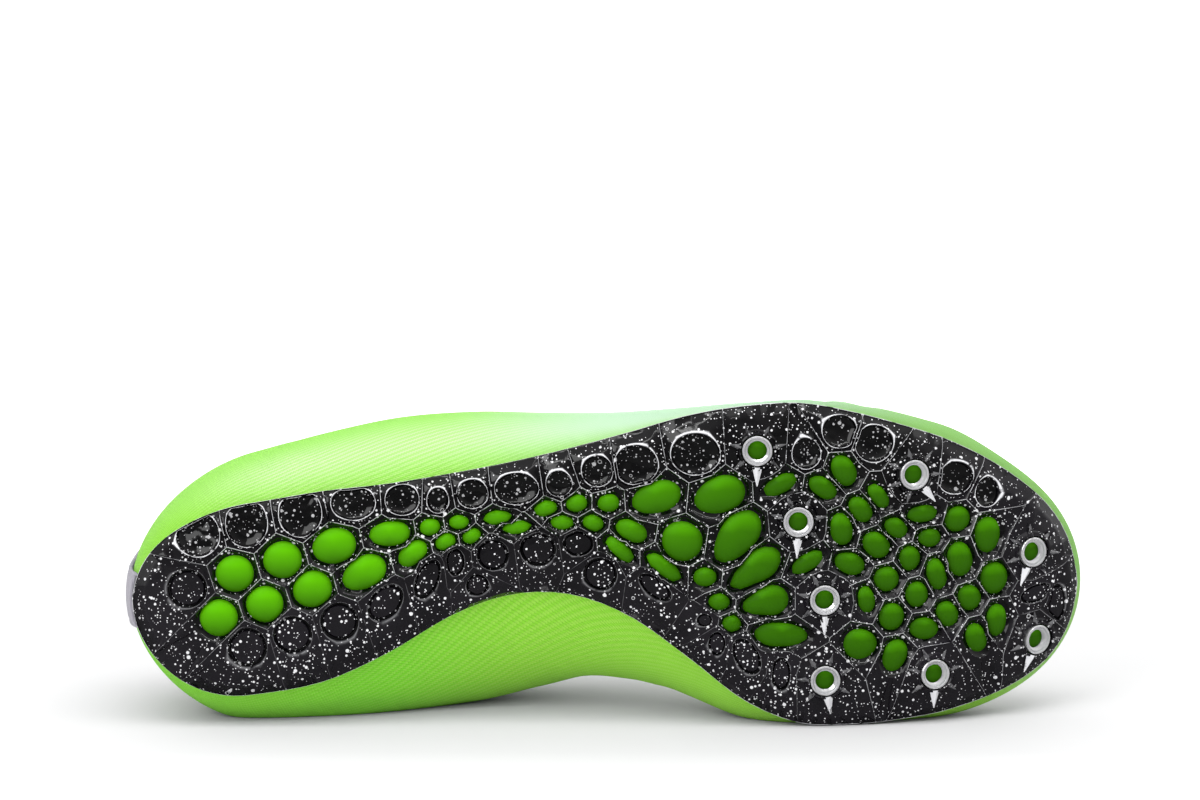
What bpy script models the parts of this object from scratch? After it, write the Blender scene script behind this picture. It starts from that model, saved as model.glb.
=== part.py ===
"""Track spike shoe, right foot, lying on its medial side.

The shoe is worked out in shoe coordinates: along from heel to toe, across towards the lateral
side, and height from the ground plane of the sole. lay() turns those into the way it lies:
+X heel to toe, +Y from sole to collar, +Z from the medial side up to the lateral side.
The origin is put on the floor, under the middle of the shoe, at the end.
"""
import math
from collections import namedtuple

import bmesh
import bpy
from mathutils import Matrix, Vector

# Main sizes, in metres
shoe_length = 0.278
ball_width = 0.0958
instep_height = 0.076
toe_spring = 0.028
arch_lift = 0.003
edge_lift = 0.0022
plate_thickness = 0.0030
board_thickness = 0.0016
insole_thickness = 0.0028
upper_wall = 0.0016
heel_bulge = 0.0016
toe_bulge = 0.0008
upper_inset = 0.0004
gap = 0.0003
lining_gap = 0.0006

# Outsole details, in metres
pocket_depth = 0.0010
funnel_flare = 0.0005
socket_radius = 0.00435
socket_bore = 0.0031
socket_lip = 0.0009
socket_flange = 0.0010
socket_waist = 0.00385
boss_rise = 0.0012
boss_rim = 0.0011
fin_reach = 0.0042
fin_count = 6

# Throat, tongue, laces and trim, in metres
throat_half_gap = 0.0080
throat_middle = -0.0050
tongue_thickness = 0.0026
tongue_overlap = 0.0115
tongue_least_overlap = 0.0020
tongue_free_length = 0.026
lace_width = 0.0056
lace_thickness = 0.0012
lace_rise = 0.0030
lace_gap = 0.0006
lace_stagger = 0.00022
lace_inset = 0.0062
eyelet_pairs = 6
binding_radius = 0.0010
binding_gap = 0.0006
strip_width = 0.0158
strip_thickness = 0.0012
strip_gap = 0.0005

# Places along the shoe, as shares of its length
heel_round = 0.126
toe_round = 0.162
spring_start = 0.680
throat_front = 0.700
throat_back = 0.455
tongue_front = 0.690
tongue_back = 0.463
last_eyelet = 0.675
first_eyelet = 0.475

# Sole: middle line and half width, as shares of the ball width
SolePlan = namedtuple("SolePlan", "along middle half_width")
SOLE_PLAN = [
    SolePlan(0.00, -0.127, 0.298),
    SolePlan(0.06, -0.135, 0.300),
    SolePlan(0.12, -0.121, 0.302),
    SolePlan(0.20, -0.081, 0.300),
    SolePlan(0.27, -0.025, 0.267),
    SolePlan(0.34, 0.050, 0.225),
    SolePlan(0.40, 0.096, 0.213),
    SolePlan(0.46, 0.117, 0.234),
    SolePlan(0.52, 0.109, 0.290),
    SolePlan(0.58, 0.073, 0.376),
    SolePlan(0.64, 0.021, 0.457),
    SolePlan(0.70, -0.010, 0.496),
    SolePlan(0.76, -0.030, 0.483),
    SolePlan(0.82, -0.049, 0.450),
    SolePlan(0.88, -0.070, 0.412),
    SolePlan(0.94, -0.096, 0.396),
    SolePlan(1.00, -0.121, 0.412),
]

# Widest line of the upper: edges as shares of the ball width, heights above the sole as shares
# of the instep height
WidestLine = namedtuple("WidestLine", "along lateral medial lateral_rise medial_rise")
WIDEST_LINE = [
    WidestLine(0.00, 0.215, -0.480, 0.36, 0.33),
    WidestLine(0.06, 0.240, -0.505, 0.36, 0.30),
    WidestLine(0.12, 0.280, -0.522, 0.37, 0.29),
    WidestLine(0.20, 0.345, -0.524, 0.39, 0.33),
    WidestLine(0.28, 0.392, -0.522, 0.42, 0.42),
    WidestLine(0.36, 0.408, -0.510, 0.43, 0.56),
    WidestLine(0.43, 0.407, -0.464, 0.40, 0.58),
    WidestLine(0.50, 0.415, -0.424, 0.33, 0.52),
    WidestLine(0.57, 0.437, -0.450, 0.26, 0.38),
    WidestLine(0.64, 0.462, -0.510, 0.20, 0.23),
    WidestLine(0.71, 0.476, -0.523, 0.165, 0.16),
    WidestLine(0.78, 0.448, -0.522, 0.155, 0.15),
    WidestLine(0.85, 0.390, -0.512, 0.150, 0.145),
    WidestLine(0.92, 0.322, -0.512, 0.140, 0.140),
    WidestLine(1.00, 0.290, -0.530, 0.120, 0.120),
]

# Top edge of the upper, round the collar and down the throat
TopEdge = namedtuple("TopEdge", "along lateral medial height")
TOP_EDGE = [
    TopEdge(0.00, 0.120, -0.375, 0.850),
    TopEdge(0.07, 0.140, -0.405, 0.805),
    TopEdge(0.15, 0.175, -0.455, 0.715),
    TopEdge(0.22, 0.215, -0.495, 0.680),
    TopEdge(0.29, 0.250, -0.516, 0.720),
    TopEdge(0.35, 0.235, -0.516, 0.800),
    TopEdge(0.41, 0.185, -0.405, 0.895),
    TopEdge(0.455, 0.125, -0.265, 0.960),
    TopEdge(0.54, 0.095, -0.225, 0.870),
    TopEdge(0.62, 0.065, -0.180, 0.770),
    TopEdge(0.70, 0.031, -0.136, 0.665),
]

# Open cells, right through the plate: place as shares of length and ball width, size as shares
# of length, turn in degrees
Cell = namedtuple("Cell", "along across long wide turn")
OPEN_CELLS = [
    Cell(0.109, -0.037, 0.0380, 0.0365, 0),
    Cell(0.159, 0.005, 0.0390, 0.0370, 10),
    Cell(0.213, 0.047, 0.0455, 0.0350, 15),
    Cell(0.271, 0.083, 0.0420, 0.0220, 5),
    Cell(0.092, -0.173, 0.0380, 0.0370, 0),
    Cell(0.140, -0.131, 0.0370, 0.0365, 0),
    Cell(0.190, -0.085, 0.0400, 0.0360, 25),
    Cell(0.244, -0.036, 0.0490, 0.0310, 30),
    Cell(0.295, 0.022, 0.0320, 0.0180, 40),
    Cell(0.313, 0.102, 0.0170, 0.0120, 15),
    Cell(0.329, 0.057, 0.0175, 0.0115, 25),
    Cell(0.343, 0.116, 0.0160, 0.0085, 0),
    Cell(0.356, 0.074, 0.0150, 0.0095, 25),
    Cell(0.383, 0.130, 0.0265, 0.0080, 5),
    Cell(0.403, 0.100, 0.0275, 0.0070, 5),
    Cell(0.433, 0.158, 0.0200, 0.0105, 15),
    Cell(0.465, 0.174, 0.0175, 0.0130, 10),
    Cell(0.450, 0.116, 0.0200, 0.0090, -5),
    Cell(0.482, 0.115, 0.0175, 0.0115, -15),
    Cell(0.498, 0.176, 0.0180, 0.0130, 10),
    Cell(0.522, 0.092, 0.0320, 0.0170, -25),
    Cell(0.510, 0.035, 0.0360, 0.0095, -42),
    Cell(0.556, -0.018, 0.0430, 0.0120, -38),
    Cell(0.548, 0.195, 0.0530, 0.0300, 18),
    Cell(0.614, 0.203, 0.0550, 0.0360, 20),
    Cell(0.575, 0.062, 0.0420, 0.0400, -40),
    Cell(0.632, 0.075, 0.0645, 0.0360, 52),
    Cell(0.651, -0.024, 0.0635, 0.0265, 38),
    Cell(0.662, -0.124, 0.0490, 0.0265, 15),
    Cell(0.679, -0.225, 0.0570, 0.0210, -2),
    Cell(0.599, -0.048, 0.0200, 0.0140, 0),
    Cell(0.614, -0.124, 0.0170, 0.0120, 0),
    Cell(0.627, -0.191, 0.0150, 0.0120, 0),
    Cell(0.677, 0.235, 0.0360, 0.0130, 28),
    Cell(0.722, 0.226, 0.0300, 0.0150, -33),
    Cell(0.744, 0.277, 0.0320, 0.0200, -62),
    Cell(0.781, 0.196, 0.0265, 0.0110, -52),
    Cell(0.762, 0.157, 0.0265, 0.0170, -50),
    Cell(0.742, 0.098, 0.0320, 0.0190, -80),
    Cell(0.779, 0.047, 0.0285, 0.0210, -40),
    Cell(0.800, 0.097, 0.0220, 0.0150, -30),
    Cell(0.828, 0.136, 0.0300, 0.0120, 5),
    Cell(0.836, 0.062, 0.0200, 0.0140, 0),
    Cell(0.815, 0.002, 0.0220, 0.0180, 90),
    Cell(0.866, 0.114, 0.0240, 0.0220, 25),
    Cell(0.899, 0.060, 0.0360, 0.0240, 90),
    Cell(0.869, -0.009, 0.0350, 0.0240, -80),
    Cell(0.844, -0.051, 0.0320, 0.0160, -75),
    Cell(0.907, -0.076, 0.0310, 0.0265, 90),
    Cell(0.790, -0.059, 0.0230, 0.0220, 0),
    Cell(0.751, -0.008, 0.0300, 0.0180, -20),
    Cell(0.706, -0.003, 0.0360, 0.0120, 32),
    Cell(0.769, -0.120, 0.0250, 0.0120, -80),
    Cell(0.823, -0.111, 0.0230, 0.0200, 90),
    Cell(0.880, -0.130, 0.0240, 0.0210, -60),
    Cell(0.796, -0.176, 0.0250, 0.0230, 90),
    Cell(0.856, -0.176, 0.0240, 0.0190, -60),
    Cell(0.831, -0.217, 0.0285, 0.0180, -5),
    Cell(0.910, -0.207, 0.0320, 0.0170, 90),
    Cell(0.888, -0.256, 0.0285, 0.0170, -70),
    Cell(0.763, -0.257, 0.0330, 0.0285, 0),
    Cell(0.800, -0.296, 0.0320, 0.0210, 70),
]

# Blind pockets, in the same columns
BLIND_POCKETS = [
    Cell(0.071, 0.084, 0.0455, 0.0455, 0),
    Cell(0.122, 0.118, 0.0490, 0.0430, 90),
    Cell(0.178, 0.149, 0.0490, 0.0440, 90),
    Cell(0.233, 0.180, 0.0455, 0.0350, 0),
    Cell(0.284, 0.189, 0.0350, 0.0320, 0),
    Cell(0.321, 0.186, 0.0265, 0.0220, 90),
    Cell(0.357, 0.205, 0.0320, 0.0300, 0),
    Cell(0.403, 0.220, 0.0455, 0.0330, 0),
    Cell(0.447, 0.236, 0.0265, 0.0265, 0),
    Cell(0.487, 0.276, 0.0320, 0.0320, 0),
    Cell(0.527, 0.296, 0.0455, 0.0410, 0),
    Cell(0.589, 0.330, 0.0510, 0.0430, 0),
    Cell(0.704, 0.332, 0.0320, 0.0290, 90),
    Cell(0.739, 0.398, 0.0360, 0.0340, 0),
    Cell(0.775, 0.359, 0.0400, 0.0380, 0),
    Cell(0.862, 0.244, 0.0380, 0.0330, 0),
    Cell(0.896, 0.194, 0.0310, 0.0250, 90),
    Cell(0.060, -0.081, 0.0410, 0.0410, 0),
    Cell(0.122, -0.261, 0.0410, 0.0410, 0),
    Cell(0.169, -0.223, 0.0410, 0.0390, 0),
    Cell(0.218, -0.183, 0.0400, 0.0400, 45),
    Cell(0.266, -0.126, 0.0445, 0.0300, 47),
    Cell(0.310, -0.055, 0.0445, 0.0230, 65),
    Cell(0.339, -0.004, 0.0285, 0.0190, 90),
    Cell(0.378, 0.017, 0.0330, 0.0330, 0),
    Cell(0.425, 0.035, 0.0380, 0.0350, 0),
    Cell(0.467, 0.053, 0.0320, 0.0265, 0),
    Cell(0.362, -0.076, 0.0230, 0.0230, 0),
    Cell(0.490, -0.040, 0.0350, 0.0350, 0),
    Cell(0.547, -0.078, 0.0400, 0.0190, -38),
    Cell(0.599, -0.179, 0.0150, 0.0130, 0),
    Cell(0.612, -0.251, 0.0250, 0.0170, 90),
    Cell(0.643, -0.290, 0.0420, 0.0250, -60),
    Cell(0.679, -0.344, 0.0350, 0.0190, 90),
    Cell(0.952, -0.133, 0.0360, 0.0180, 15),
    Cell(0.975, -0.170, 0.0400, 0.0200, 90),
]

# Spike sockets: place as shares of length and ball width, first fin's turn in degrees
SpikeSocket = namedtuple("SpikeSocket", "along across fin_turn")
SPIKE_SOCKETS = [
    SpikeSocket(0.653, 0.341, 90),
    SpikeSocket(0.696, 0.124, 80),
    SpikeSocket(0.724, -0.116, 90),
    SpikeSocket(0.725, -0.364, 100),
    SpikeSocket(0.817, 0.260, 90),
    SpikeSocket(0.841, -0.357, 90),
    SpikeSocket(0.946, -0.002, 70),
    SpikeSocket(0.952, -0.276, 110),
]

Finish = namedtuple("Finish", "name colour roughness metallic")
BLACK_PLATE = Finish("speckled_plate", (0.012, 0.012, 0.014), 0.25, 0.0)
GREEN_BOARD = Finish("green_board", (0.13, 0.60, 0.13), 0.45, 0.0)
GREEN_KNIT = Finish("green_knit", (0.12, 0.72, 0.18), 0.55, 0.0)
GREY_TAPE = Finish("grey_tape", (0.36, 0.34, 0.40), 0.60, 0.0)
BLACK_BINDING = Finish("black_binding", (0.015, 0.015, 0.016), 0.70, 0.0)
SILVER = Finish("silver_metal", (0.72, 0.72, 0.74), 0.25, 1.0)
LINING = Finish("dark_lining", (0.03, 0.03, 0.035), 0.85, 0.0)
LACE = Finish("pale_lace", (0.75, 0.80, 0.76), 0.75, 0.0)

# Numbers of facets
heel_steps = 6
side_steps = 15
toe_steps = 6
lower_steps = 3
crown_steps = 6
socket_sides = 14
cell_sides = 7
pocket_sides = 8

# Shape of the upper's arcs, in degrees from the widest line
lower_arc = 55.0
crown_arc = 74.0

# Where the sole's edge starts to turn up, as a share of its half width
turn_up_start = 0.72
turn_up_middle = 0.86

floor_across = -0.5115 * ball_width


def read(table, column, along):
    """A table's column at a place along the shoe, on a smooth curve through its rows."""
    places = [row.along for row in table]
    values = [getattr(row, column) for row in table]
    if along <= places[0]:
        return values[0]
    if along >= places[-1]:
        return values[-1]
    k = max(i for i, place in enumerate(places) if place <= along)

    def slope(i):
        before, after = max(i - 1, 0), min(i + 1, len(places) - 1)
        return (values[after] - values[before]) / (places[after] - places[before])

    span = places[k + 1] - places[k]
    t = (along - places[k]) / span
    start, end = values[k], values[k + 1]
    return ((2 * t**3 - 3 * t**2 + 1) * start + (t**3 - 2 * t**2 + t) * span * slope(k)
            + (3 * t**2 - 2 * t**3) * end + (t**3 - t**2) * span * slope(k + 1))


def into_end(along):
    """How far a place lies into a rounded end: 0 on the sides, 1 at the tip."""
    if along < heel_round:
        return 1 - along / heel_round
    if along > 1 - toe_round:
        return (along - 1 + toe_round) / toe_round
    return 0.0


def sole_middle(along):
    return ball_width * read(SOLE_PLAN, "middle", along)


def sole_half_width(along):
    return ball_width * read(SOLE_PLAN, "half_width", along)


def sole_height(x, w):
    """Height of the sole's outer face over the ground plane."""
    along = min(max(x / shoe_length, 0.0), 1.0)
    spring = max(0.0, (along - spring_start) / (1 - spring_start))
    edge = (w - sole_middle(along)) / sole_half_width(along)
    radius = math.hypot(into_end(along), edge)
    turn_up = max(0.0, (radius - turn_up_start) / (1 - turn_up_start))
    arch = math.exp(-((along - 0.40) / 0.13) ** 2)
    return toe_spring * spring**2 + edge_lift * min(turn_up, 1.6) ** 2 + arch_lift * arch


def over_sole(x, w, rise):
    """A point at a given distance from the sole's outer face, in towards the foot."""
    step = 0.0005
    slope_x = (sole_height(x + step, w) - sole_height(x - step, w)) / (2 * step)
    slope_w = (sole_height(x, w + step) - sole_height(x, w - step)) / (2 * step)
    normal = Vector((-slope_x, -slope_w, 1.0)).normalized()
    return Vector((x, w, sole_height(x, w))) + rise * normal


def onto_floor(point):
    """What would reach below the floor is pressed flat against it."""
    return Vector((point.x, max(point.y, floor_across), point.z))


def lay(point):
    """From shoe coordinates to the way that the shoe lies."""
    return Vector((point.x, point.z, point.y))


def stations():
    """Places along the shoe from heel tip to toe tip, close together at the rounded ends."""
    heel = [heel_round * (1 - math.cos(math.radians(90 * k / heel_steps))) for k in range(heel_steps)]
    side_span = 1 - heel_round - toe_round
    side = [heel_round + side_span * k / side_steps for k in range(side_steps + 1)]
    toe = [1 - toe_round * (1 - math.cos(math.radians(90 - 90 * k / toe_steps)))
           for k in range(1, toe_steps + 1)]
    return heel + side + toe


def round_trip():
    """Station and side for each column round the shoe, heel tip first."""
    places = stations()
    lateral = [(along, 1) for along in places[:-1]]
    medial = [(along, -1) for along in reversed(places[1:])]
    return lateral + medial


def sole_edge(along, side, inset, share=1.0):
    """A point of the sole's plan outline, or of a smaller outline inside it."""
    end = into_end(along)
    breadth = math.sqrt(max(0.0, 1 - end**2)) * share
    middle_x = shoe_length * min(max(along, heel_round), 1 - toe_round)
    x = middle_x + (shoe_length * along - middle_x) * share
    reach = inset * end
    x += reach if along < 0.5 else -reach
    place = min(max(x / shoe_length, 0.0), 1.0)
    w = sole_middle(place) + side * (sole_half_width(place) - inset) * breadth
    return x, max(w, floor_across + inset)


def foot_of_upper(along, side):
    x, w = sole_edge(along, side, upper_inset)
    return over_sole(x, w, plate_thickness + gap)


def widest_point(along, side):
    lateral = ball_width * read(WIDEST_LINE, "lateral", along)
    medial = ball_width * read(WIDEST_LINE, "medial", along)
    middle, half = (lateral + medial) / 2, (lateral - medial) / 2
    breadth = math.sqrt(max(0.0, 1 - into_end(along) ** 2))
    rises = read(WIDEST_LINE, "lateral_rise", along), read(WIDEST_LINE, "medial_rise", along)
    centre_share = 0.5 + 0.5 * side * breadth
    rise = instep_height * (rises[0] * centre_share + rises[1] * (1 - centre_share))
    x = -heel_bulge + (shoe_length + heel_bulge + toe_bulge) * along
    w = middle + side * half * breadth
    ground = toe_spring * max(0.0, (along - spring_start) / (1 - spring_start)) ** 2
    return Vector((x, w, ground + rise))


def top_point(along, side):
    height = instep_height * read(TOP_EDGE, "height", min(along, throat_front))
    if along <= throat_front:
        lateral = ball_width * read(TOP_EDGE, "lateral", along)
        medial = ball_width * read(TOP_EDGE, "medial", along)
        breadth = math.sqrt(max(0.0, 1 - into_end(along) ** 2))
        w = (lateral + medial) / 2 + side * (lateral - medial) / 2 * breadth
        return Vector((shoe_length * along, w, height))
    x, w = sole_edge(along, side, upper_inset)
    centre = Vector((shoe_length * throat_front, throat_middle))
    towards = (Vector((x, w)) - centre).normalized()
    if along < 1 and towards.y * side < 0:
        towards.y = 0.0
    place = centre + throat_half_gap * towards
    return Vector((place.x, place.y, height))


def upper_point(along, side, climb):
    """The upper's outer face; climb is 0 at the sole, 1 at the widest line and 2 at the top."""
    widest = widest_point(along, side)
    if climb <= 1:
        start, arc = foot_of_upper(along, side), math.radians(lower_arc)
        angle = arc * (1 - climb)
    else:
        start, arc = top_point(along, side), math.radians(crown_arc)
        angle = arc * (climb - 1)
    inward = (1 - math.cos(angle)) / (1 - math.cos(arc))
    upward = math.sin(angle) / math.sin(arc)
    x = widest.x + (start.x - widest.x) * inward
    w = widest.y + (start.y - widest.y) * inward
    h = widest.z + (start.z - widest.z) * upward
    return onto_floor(Vector((x, w, h)))


def upper_normal(along, side, climb):
    """Outward direction of the upper at a place on its outer face."""
    step, climb = 0.01, min(climb, 1.99)
    along = min(max(along, 0.02), 0.98)
    ahead = upper_point(along + step, side, climb) - upper_point(along - step, side, climb)
    above = upper_point(along, side, climb + step) - upper_point(along, side, climb - step)
    return (above.cross(ahead) * side).normalized()


def new_object(name, bm, finish):
    mesh = bpy.data.meshes.new(name)
    bm.to_mesh(mesh)
    bm.free()
    material = bpy.data.materials.get(finish.name) or bpy.data.materials.new(finish.name)
    material.use_nodes = True
    shader = material.node_tree.nodes["Principled BSDF"]
    shader.inputs["Base Color"].default_value = (*finish.colour, 1.0)
    shader.inputs["Roughness"].default_value = finish.roughness
    shader.inputs["Metallic"].default_value = finish.metallic
    mesh.materials.append(material)
    mesh.shade_smooth()
    mesh.set_sharp_from_angle(angle=math.radians(40))
    obj = bpy.data.objects.new(name, mesh)
    bpy.context.scene.collection.objects.link(obj)
    return obj


def faced_out(bm):
    """Points every face of a closed shape outwards."""
    bmesh.ops.recalc_face_normals(bm, faces=bm.faces)
    if bm.calc_volume(signed=True) < 0:
        bmesh.ops.reverse_faces(bm, faces=bm.faces)
    return bm


def join_rings(bm, rings, closed):
    """Faces between neighbouring rings of the same number of vertices."""
    count = len(rings[0])
    for lower, higher in zip(rings, rings[1:]):
        for k in range(count if closed else count - 1):
            n = (k + 1) % count
            bm.faces.new((lower[k], lower[n], higher[n], higher[k]))


def slab(inset, low, high, shape=over_sole):
    """A sheet under the foot, from a lower to a higher distance over the sole's outer face."""
    bm = bmesh.new()
    shares = (1.0, turn_up_middle, turn_up_start)
    columns = round_trip()
    layers = []
    for rise in (low, high):
        rings = []
        for share in shares:
            places = [sole_edge(along, side, inset, share) for along, side in columns]
            rings.append([bm.verts.new(shape(x, w, rise)) for x, w in places])
        join_rings(bm, rings, closed=True)
        inner, count = rings[-1], len(columns)
        last = count // 2
        bm.faces.new((inner[0], inner[1], inner[-1]))
        for k in range(1, last - 1):
            bm.faces.new((inner[k], inner[k + 1], inner[-k - 1], inner[-k]))
        bm.faces.new((inner[last - 1], inner[last], inner[last + 1]))
        layers.append(rings[0])
    join_rings(bm, layers, closed=True)
    return faced_out(bm)


def laid(bm):
    """Turns a closed shape from shoe coordinates to the way that it lies."""
    for vert in bm.verts:
        vert.co = lay(vert.co)
    return faced_out(bm)


def prism(bm, centre, levels):
    """A closed solid through rings of points, each ring given as its height and outline."""
    rings = []
    for height, outline in levels:
        rings.append([bm.verts.new((centre[0] + x, centre[1] + w, height)) for x, w in outline])
    join_rings(bm, rings, closed=True)
    bm.faces.new(rings[0])
    bm.faces.new(rings[-1])


def oval(long, wide, turn, sides):
    """An oval outline of a given length, width and turn in degrees."""
    turned = Matrix.Rotation(math.radians(turn), 2)
    points = []
    for k in range(sides):
        angle = 2 * math.pi * k / sides
        points.append(turned @ Vector((long / 2 * math.cos(angle), wide / 2 * math.sin(angle))))
    return points


def flat(x, w, rise):
    return Vector((x, w, rise))


def cell_cutters():
    """Cutters for the open cells, the blind pockets and the sockets' holes."""
    beyond = 0.002
    bm = bmesh.new()
    for cell in OPEN_CELLS:
        long, wide = shoe_length * cell.long, shoe_length * cell.wide
        centre = shoe_length * cell.along, ball_width * cell.across
        mouth = oval(long + funnel_flare, wide + funnel_flare, cell.turn, cell_sides)
        throat = oval(long - funnel_flare, wide - funnel_flare, cell.turn, cell_sides)
        prism(bm, centre, [(-beyond, mouth), (0.0, mouth), (plate_thickness, throat),
                           (plate_thickness + beyond, throat)])
    for pocket in BLIND_POCKETS:
        long, wide = shoe_length * pocket.long, shoe_length * pocket.wide
        centre = shoe_length * pocket.along, ball_width * pocket.across
        floor = oval(long - funnel_flare, wide - funnel_flare, pocket.turn, pocket_sides)
        mouth = oval(long, wide, pocket.turn, pocket_sides)
        prism(bm, centre, [(-beyond, mouth), (0.0, mouth), (pocket_depth, floor)])
    for socket in SPIKE_SOCKETS:
        centre = shoe_length * socket.along, ball_width * socket.across
        hole = oval(2 * (socket_radius + gap), 2 * (socket_radius + gap), 0, socket_sides)
        prism(bm, centre, [(-beyond, hole), (plate_thickness + beyond, hole)])
    return faced_out(bm)


def star(radius_tip, radius_notch, turn):
    points = []
    for k in range(2 * fin_count):
        radius = radius_notch if k % 2 else radius_tip
        angle = math.radians(turn) + math.pi * k / fin_count
        points.append((radius * math.cos(angle), radius * math.sin(angle)))
    return points


def boss_stars():
    """The raised star of fins round each socket."""
    bm = bmesh.new()
    rim = socket_radius + gap + boss_rim
    for socket in SPIKE_SOCKETS:
        centre = shoe_length * socket.along, ball_width * socket.across
        top = star(rim * 1.06, rim, socket.fin_turn)
        foot = star(rim + fin_reach, rim * 1.08, socket.fin_turn)
        prism(bm, centre, [(-boss_rise, top), (0.0, foot), (plate_thickness / 2, foot)])
    return faced_out(bm)


def helper(name, bm):
    """A scratch solid for a Boolean, left out of the model."""
    mesh = bpy.data.meshes.new(name)
    bm.to_mesh(mesh)
    bm.free()
    obj = bpy.data.objects.new(name, mesh)
    obj.hide_render = True
    obj.display_type = "WIRE"
    bpy.context.scene.collection.objects.link(obj)
    return obj


def combine(obj, other, operation):
    modifier = obj.modifiers.new(operation.title(), "BOOLEAN")
    modifier.operation = operation
    modifier.solver = "EXACT"
    modifier.use_self = True
    modifier.object = other


def applied(obj):
    """The object's mesh with its modifiers carried out, as a bmesh."""
    graph = bpy.context.evaluated_depsgraph_get()
    bm = bmesh.new()
    bm.from_object(obj, graph)
    return bm


def remove(*objects):
    for obj in objects:
        bpy.data.objects.remove(obj, do_unlink=True)


def make_outsole():
    """The plate is cut while flat, then bent to the sole's own shape."""
    plate = helper("flat_plate", slab(0.0, 0.0, plate_thickness, shape=flat))
    stars = helper("flat_stars", boss_stars())
    cutters = helper("flat_cutters", cell_cutters())
    combine(plate, stars, "UNION")
    combine(plate, cutters, "DIFFERENCE")
    bm = applied(plate)
    remove(plate, stars, cutters)
    bmesh.ops.remove_doubles(bm, verts=bm.verts, dist=0.00002)
    bmesh.ops.triangulate(bm, faces=bm.faces)
    for vert in bm.verts:
        vert.co = onto_floor(over_sole(*vert.co))
    return new_object("outsole_plate", laid(bm), BLACK_PLATE)


def make_sockets():
    """Turned inserts, each square to the sole where it sits."""
    profile = [
        (socket_bore, -socket_lip),
        (socket_radius, -socket_lip),
        (socket_radius, socket_flange),
        (socket_waist, socket_flange),
        (socket_waist, plate_thickness),
        (socket_bore, plate_thickness),
    ]
    for number, socket in enumerate(SPIKE_SOCKETS, 1):
        x, w = shoe_length * socket.along, ball_width * socket.across
        seat, above = lay(over_sole(x, w, 0.0)), lay(over_sole(x, w, 1.0))
        bm = bmesh.new()
        rings = []
        for k in range(socket_sides):
            angle = 2 * math.pi * k / socket_sides
            corner = [(r * math.cos(angle), r * math.sin(angle), z) for r, z in profile]
            rings.append([bm.verts.new(co) for co in corner])
        join_rings(bm, rings + rings[:1], closed=True)
        obj = new_object(f"spike_socket_{number}", faced_out(bm), SILVER)
        obj.location = seat
        obj.rotation_euler = (above - seat).to_track_quat("Z", "X").to_euler()
    bpy.context.view_layer.update()


def make_board():
    inset = upper_inset + upper_wall + lining_gap
    low = plate_thickness + gap
    bm = slab(inset, low, low + board_thickness)
    return new_object("midsole_board", laid(bm), GREEN_BOARD)


def make_insole():
    inset = upper_inset + upper_wall + 2 * lining_gap
    low = plate_thickness + board_thickness + 2 * gap
    bm = slab(inset, low, low + insole_thickness)
    return new_object("insole", laid(bm), LINING)


def make_upper():
    """One shell with a real wall, open at collar and throat and under the foot."""
    climbs = [k / lower_steps for k in range(lower_steps)]
    climbs += [1 + k / crown_steps for k in range(crown_steps + 1)]
    bm = bmesh.new()
    rings = []
    for climb in climbs:
        places = [lay(upper_point(along, side, climb)) for along, side in round_trip()]
        rings.append([bm.verts.new(place) for place in places])
    join_rings(bm, rings, closed=True)
    obj = new_object("upper", bm, GREEN_KNIT)
    wall = obj.modifiers.new("Wall", "SOLIDIFY")
    wall.thickness = upper_wall
    wall.offset = -1.0
    wall.use_even_offset = True
    return obj


def make_heel_strip():
    """A strip up the back of the heel, cut from the upper's own shape."""
    climbs = [0.45 + 1.5 * k / 7 for k in range(8)]
    columns = 4
    rows = {strip_gap: [], strip_gap + strip_thickness: []}
    bm = bmesh.new()
    for climb in climbs:
        for offset, grid in rows.items():
            row = []
            for k in range(columns + 1):
                aside = strip_width * (k / columns - 0.5)
                row.append(bm.verts.new(heel_point(aside, climb, offset)))
            grid.append(row)
    inner, outer = rows.values()
    join_rings(bm, inner, closed=False)
    join_rings(bm, outer, closed=False)
    rims = []
    for grid in (inner, outer):
        left = [row[0] for row in grid]
        right = [row[-1] for row in reversed(grid)]
        rims.append(grid[0][1:-1][::-1] + left + grid[-1][1:-1] + right)
    join_rings(bm, rims, closed=True)
    return new_object("heel_strip", laid(bm), GREY_TAPE)


def heel_point(aside, climb, offset):
    """A place on the back of the heel, a given distance aside of its middle line."""
    side = 1 if aside >= 0 else -1
    middle = upper_point(0.0, side, climb)
    low, high = 0.0, heel_round / 2
    for _ in range(30):
        along = (low + high) / 2
        if abs(upper_point(along, side, climb).y - middle.y) < abs(aside):
            low = along
        else:
            high = along
    point = upper_point(low, side, climb)
    lean = (upper_point(0.0, 1, min(climb + 0.05, 2)) - upper_point(0.0, 1, climb - 0.05)).normalized()
    turn = aside / (sole_half_width(0.0) * 1.2)
    outward = Vector((-math.cos(turn) * lean.z, math.sin(turn), lean.x)).normalized()
    return point + offset * outward


def tongue_section(along, low_climb):
    """Lateral to medial line under the upper's edges and across the throat."""
    climbs = [low_climb + (2 - low_climb) * k / 2 for k in range(3)]
    lateral = [upper_point(along, 1, climb) for climb in climbs]
    medial = [upper_point(along, -1, climb) for climb in reversed(climbs)]
    start, end = lateral[-1], medial[0]
    rise = (lateral[-1].z - lateral[0].z + medial[0].z - medial[-1].z) / 8
    bridge = []
    for share in (0.25, 0.5, 0.75):
        point = start.lerp(end, share)
        point.z += 4 * share * (1 - share) * rise
        bridge.append(point)
    return lateral + bridge + medial


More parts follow.
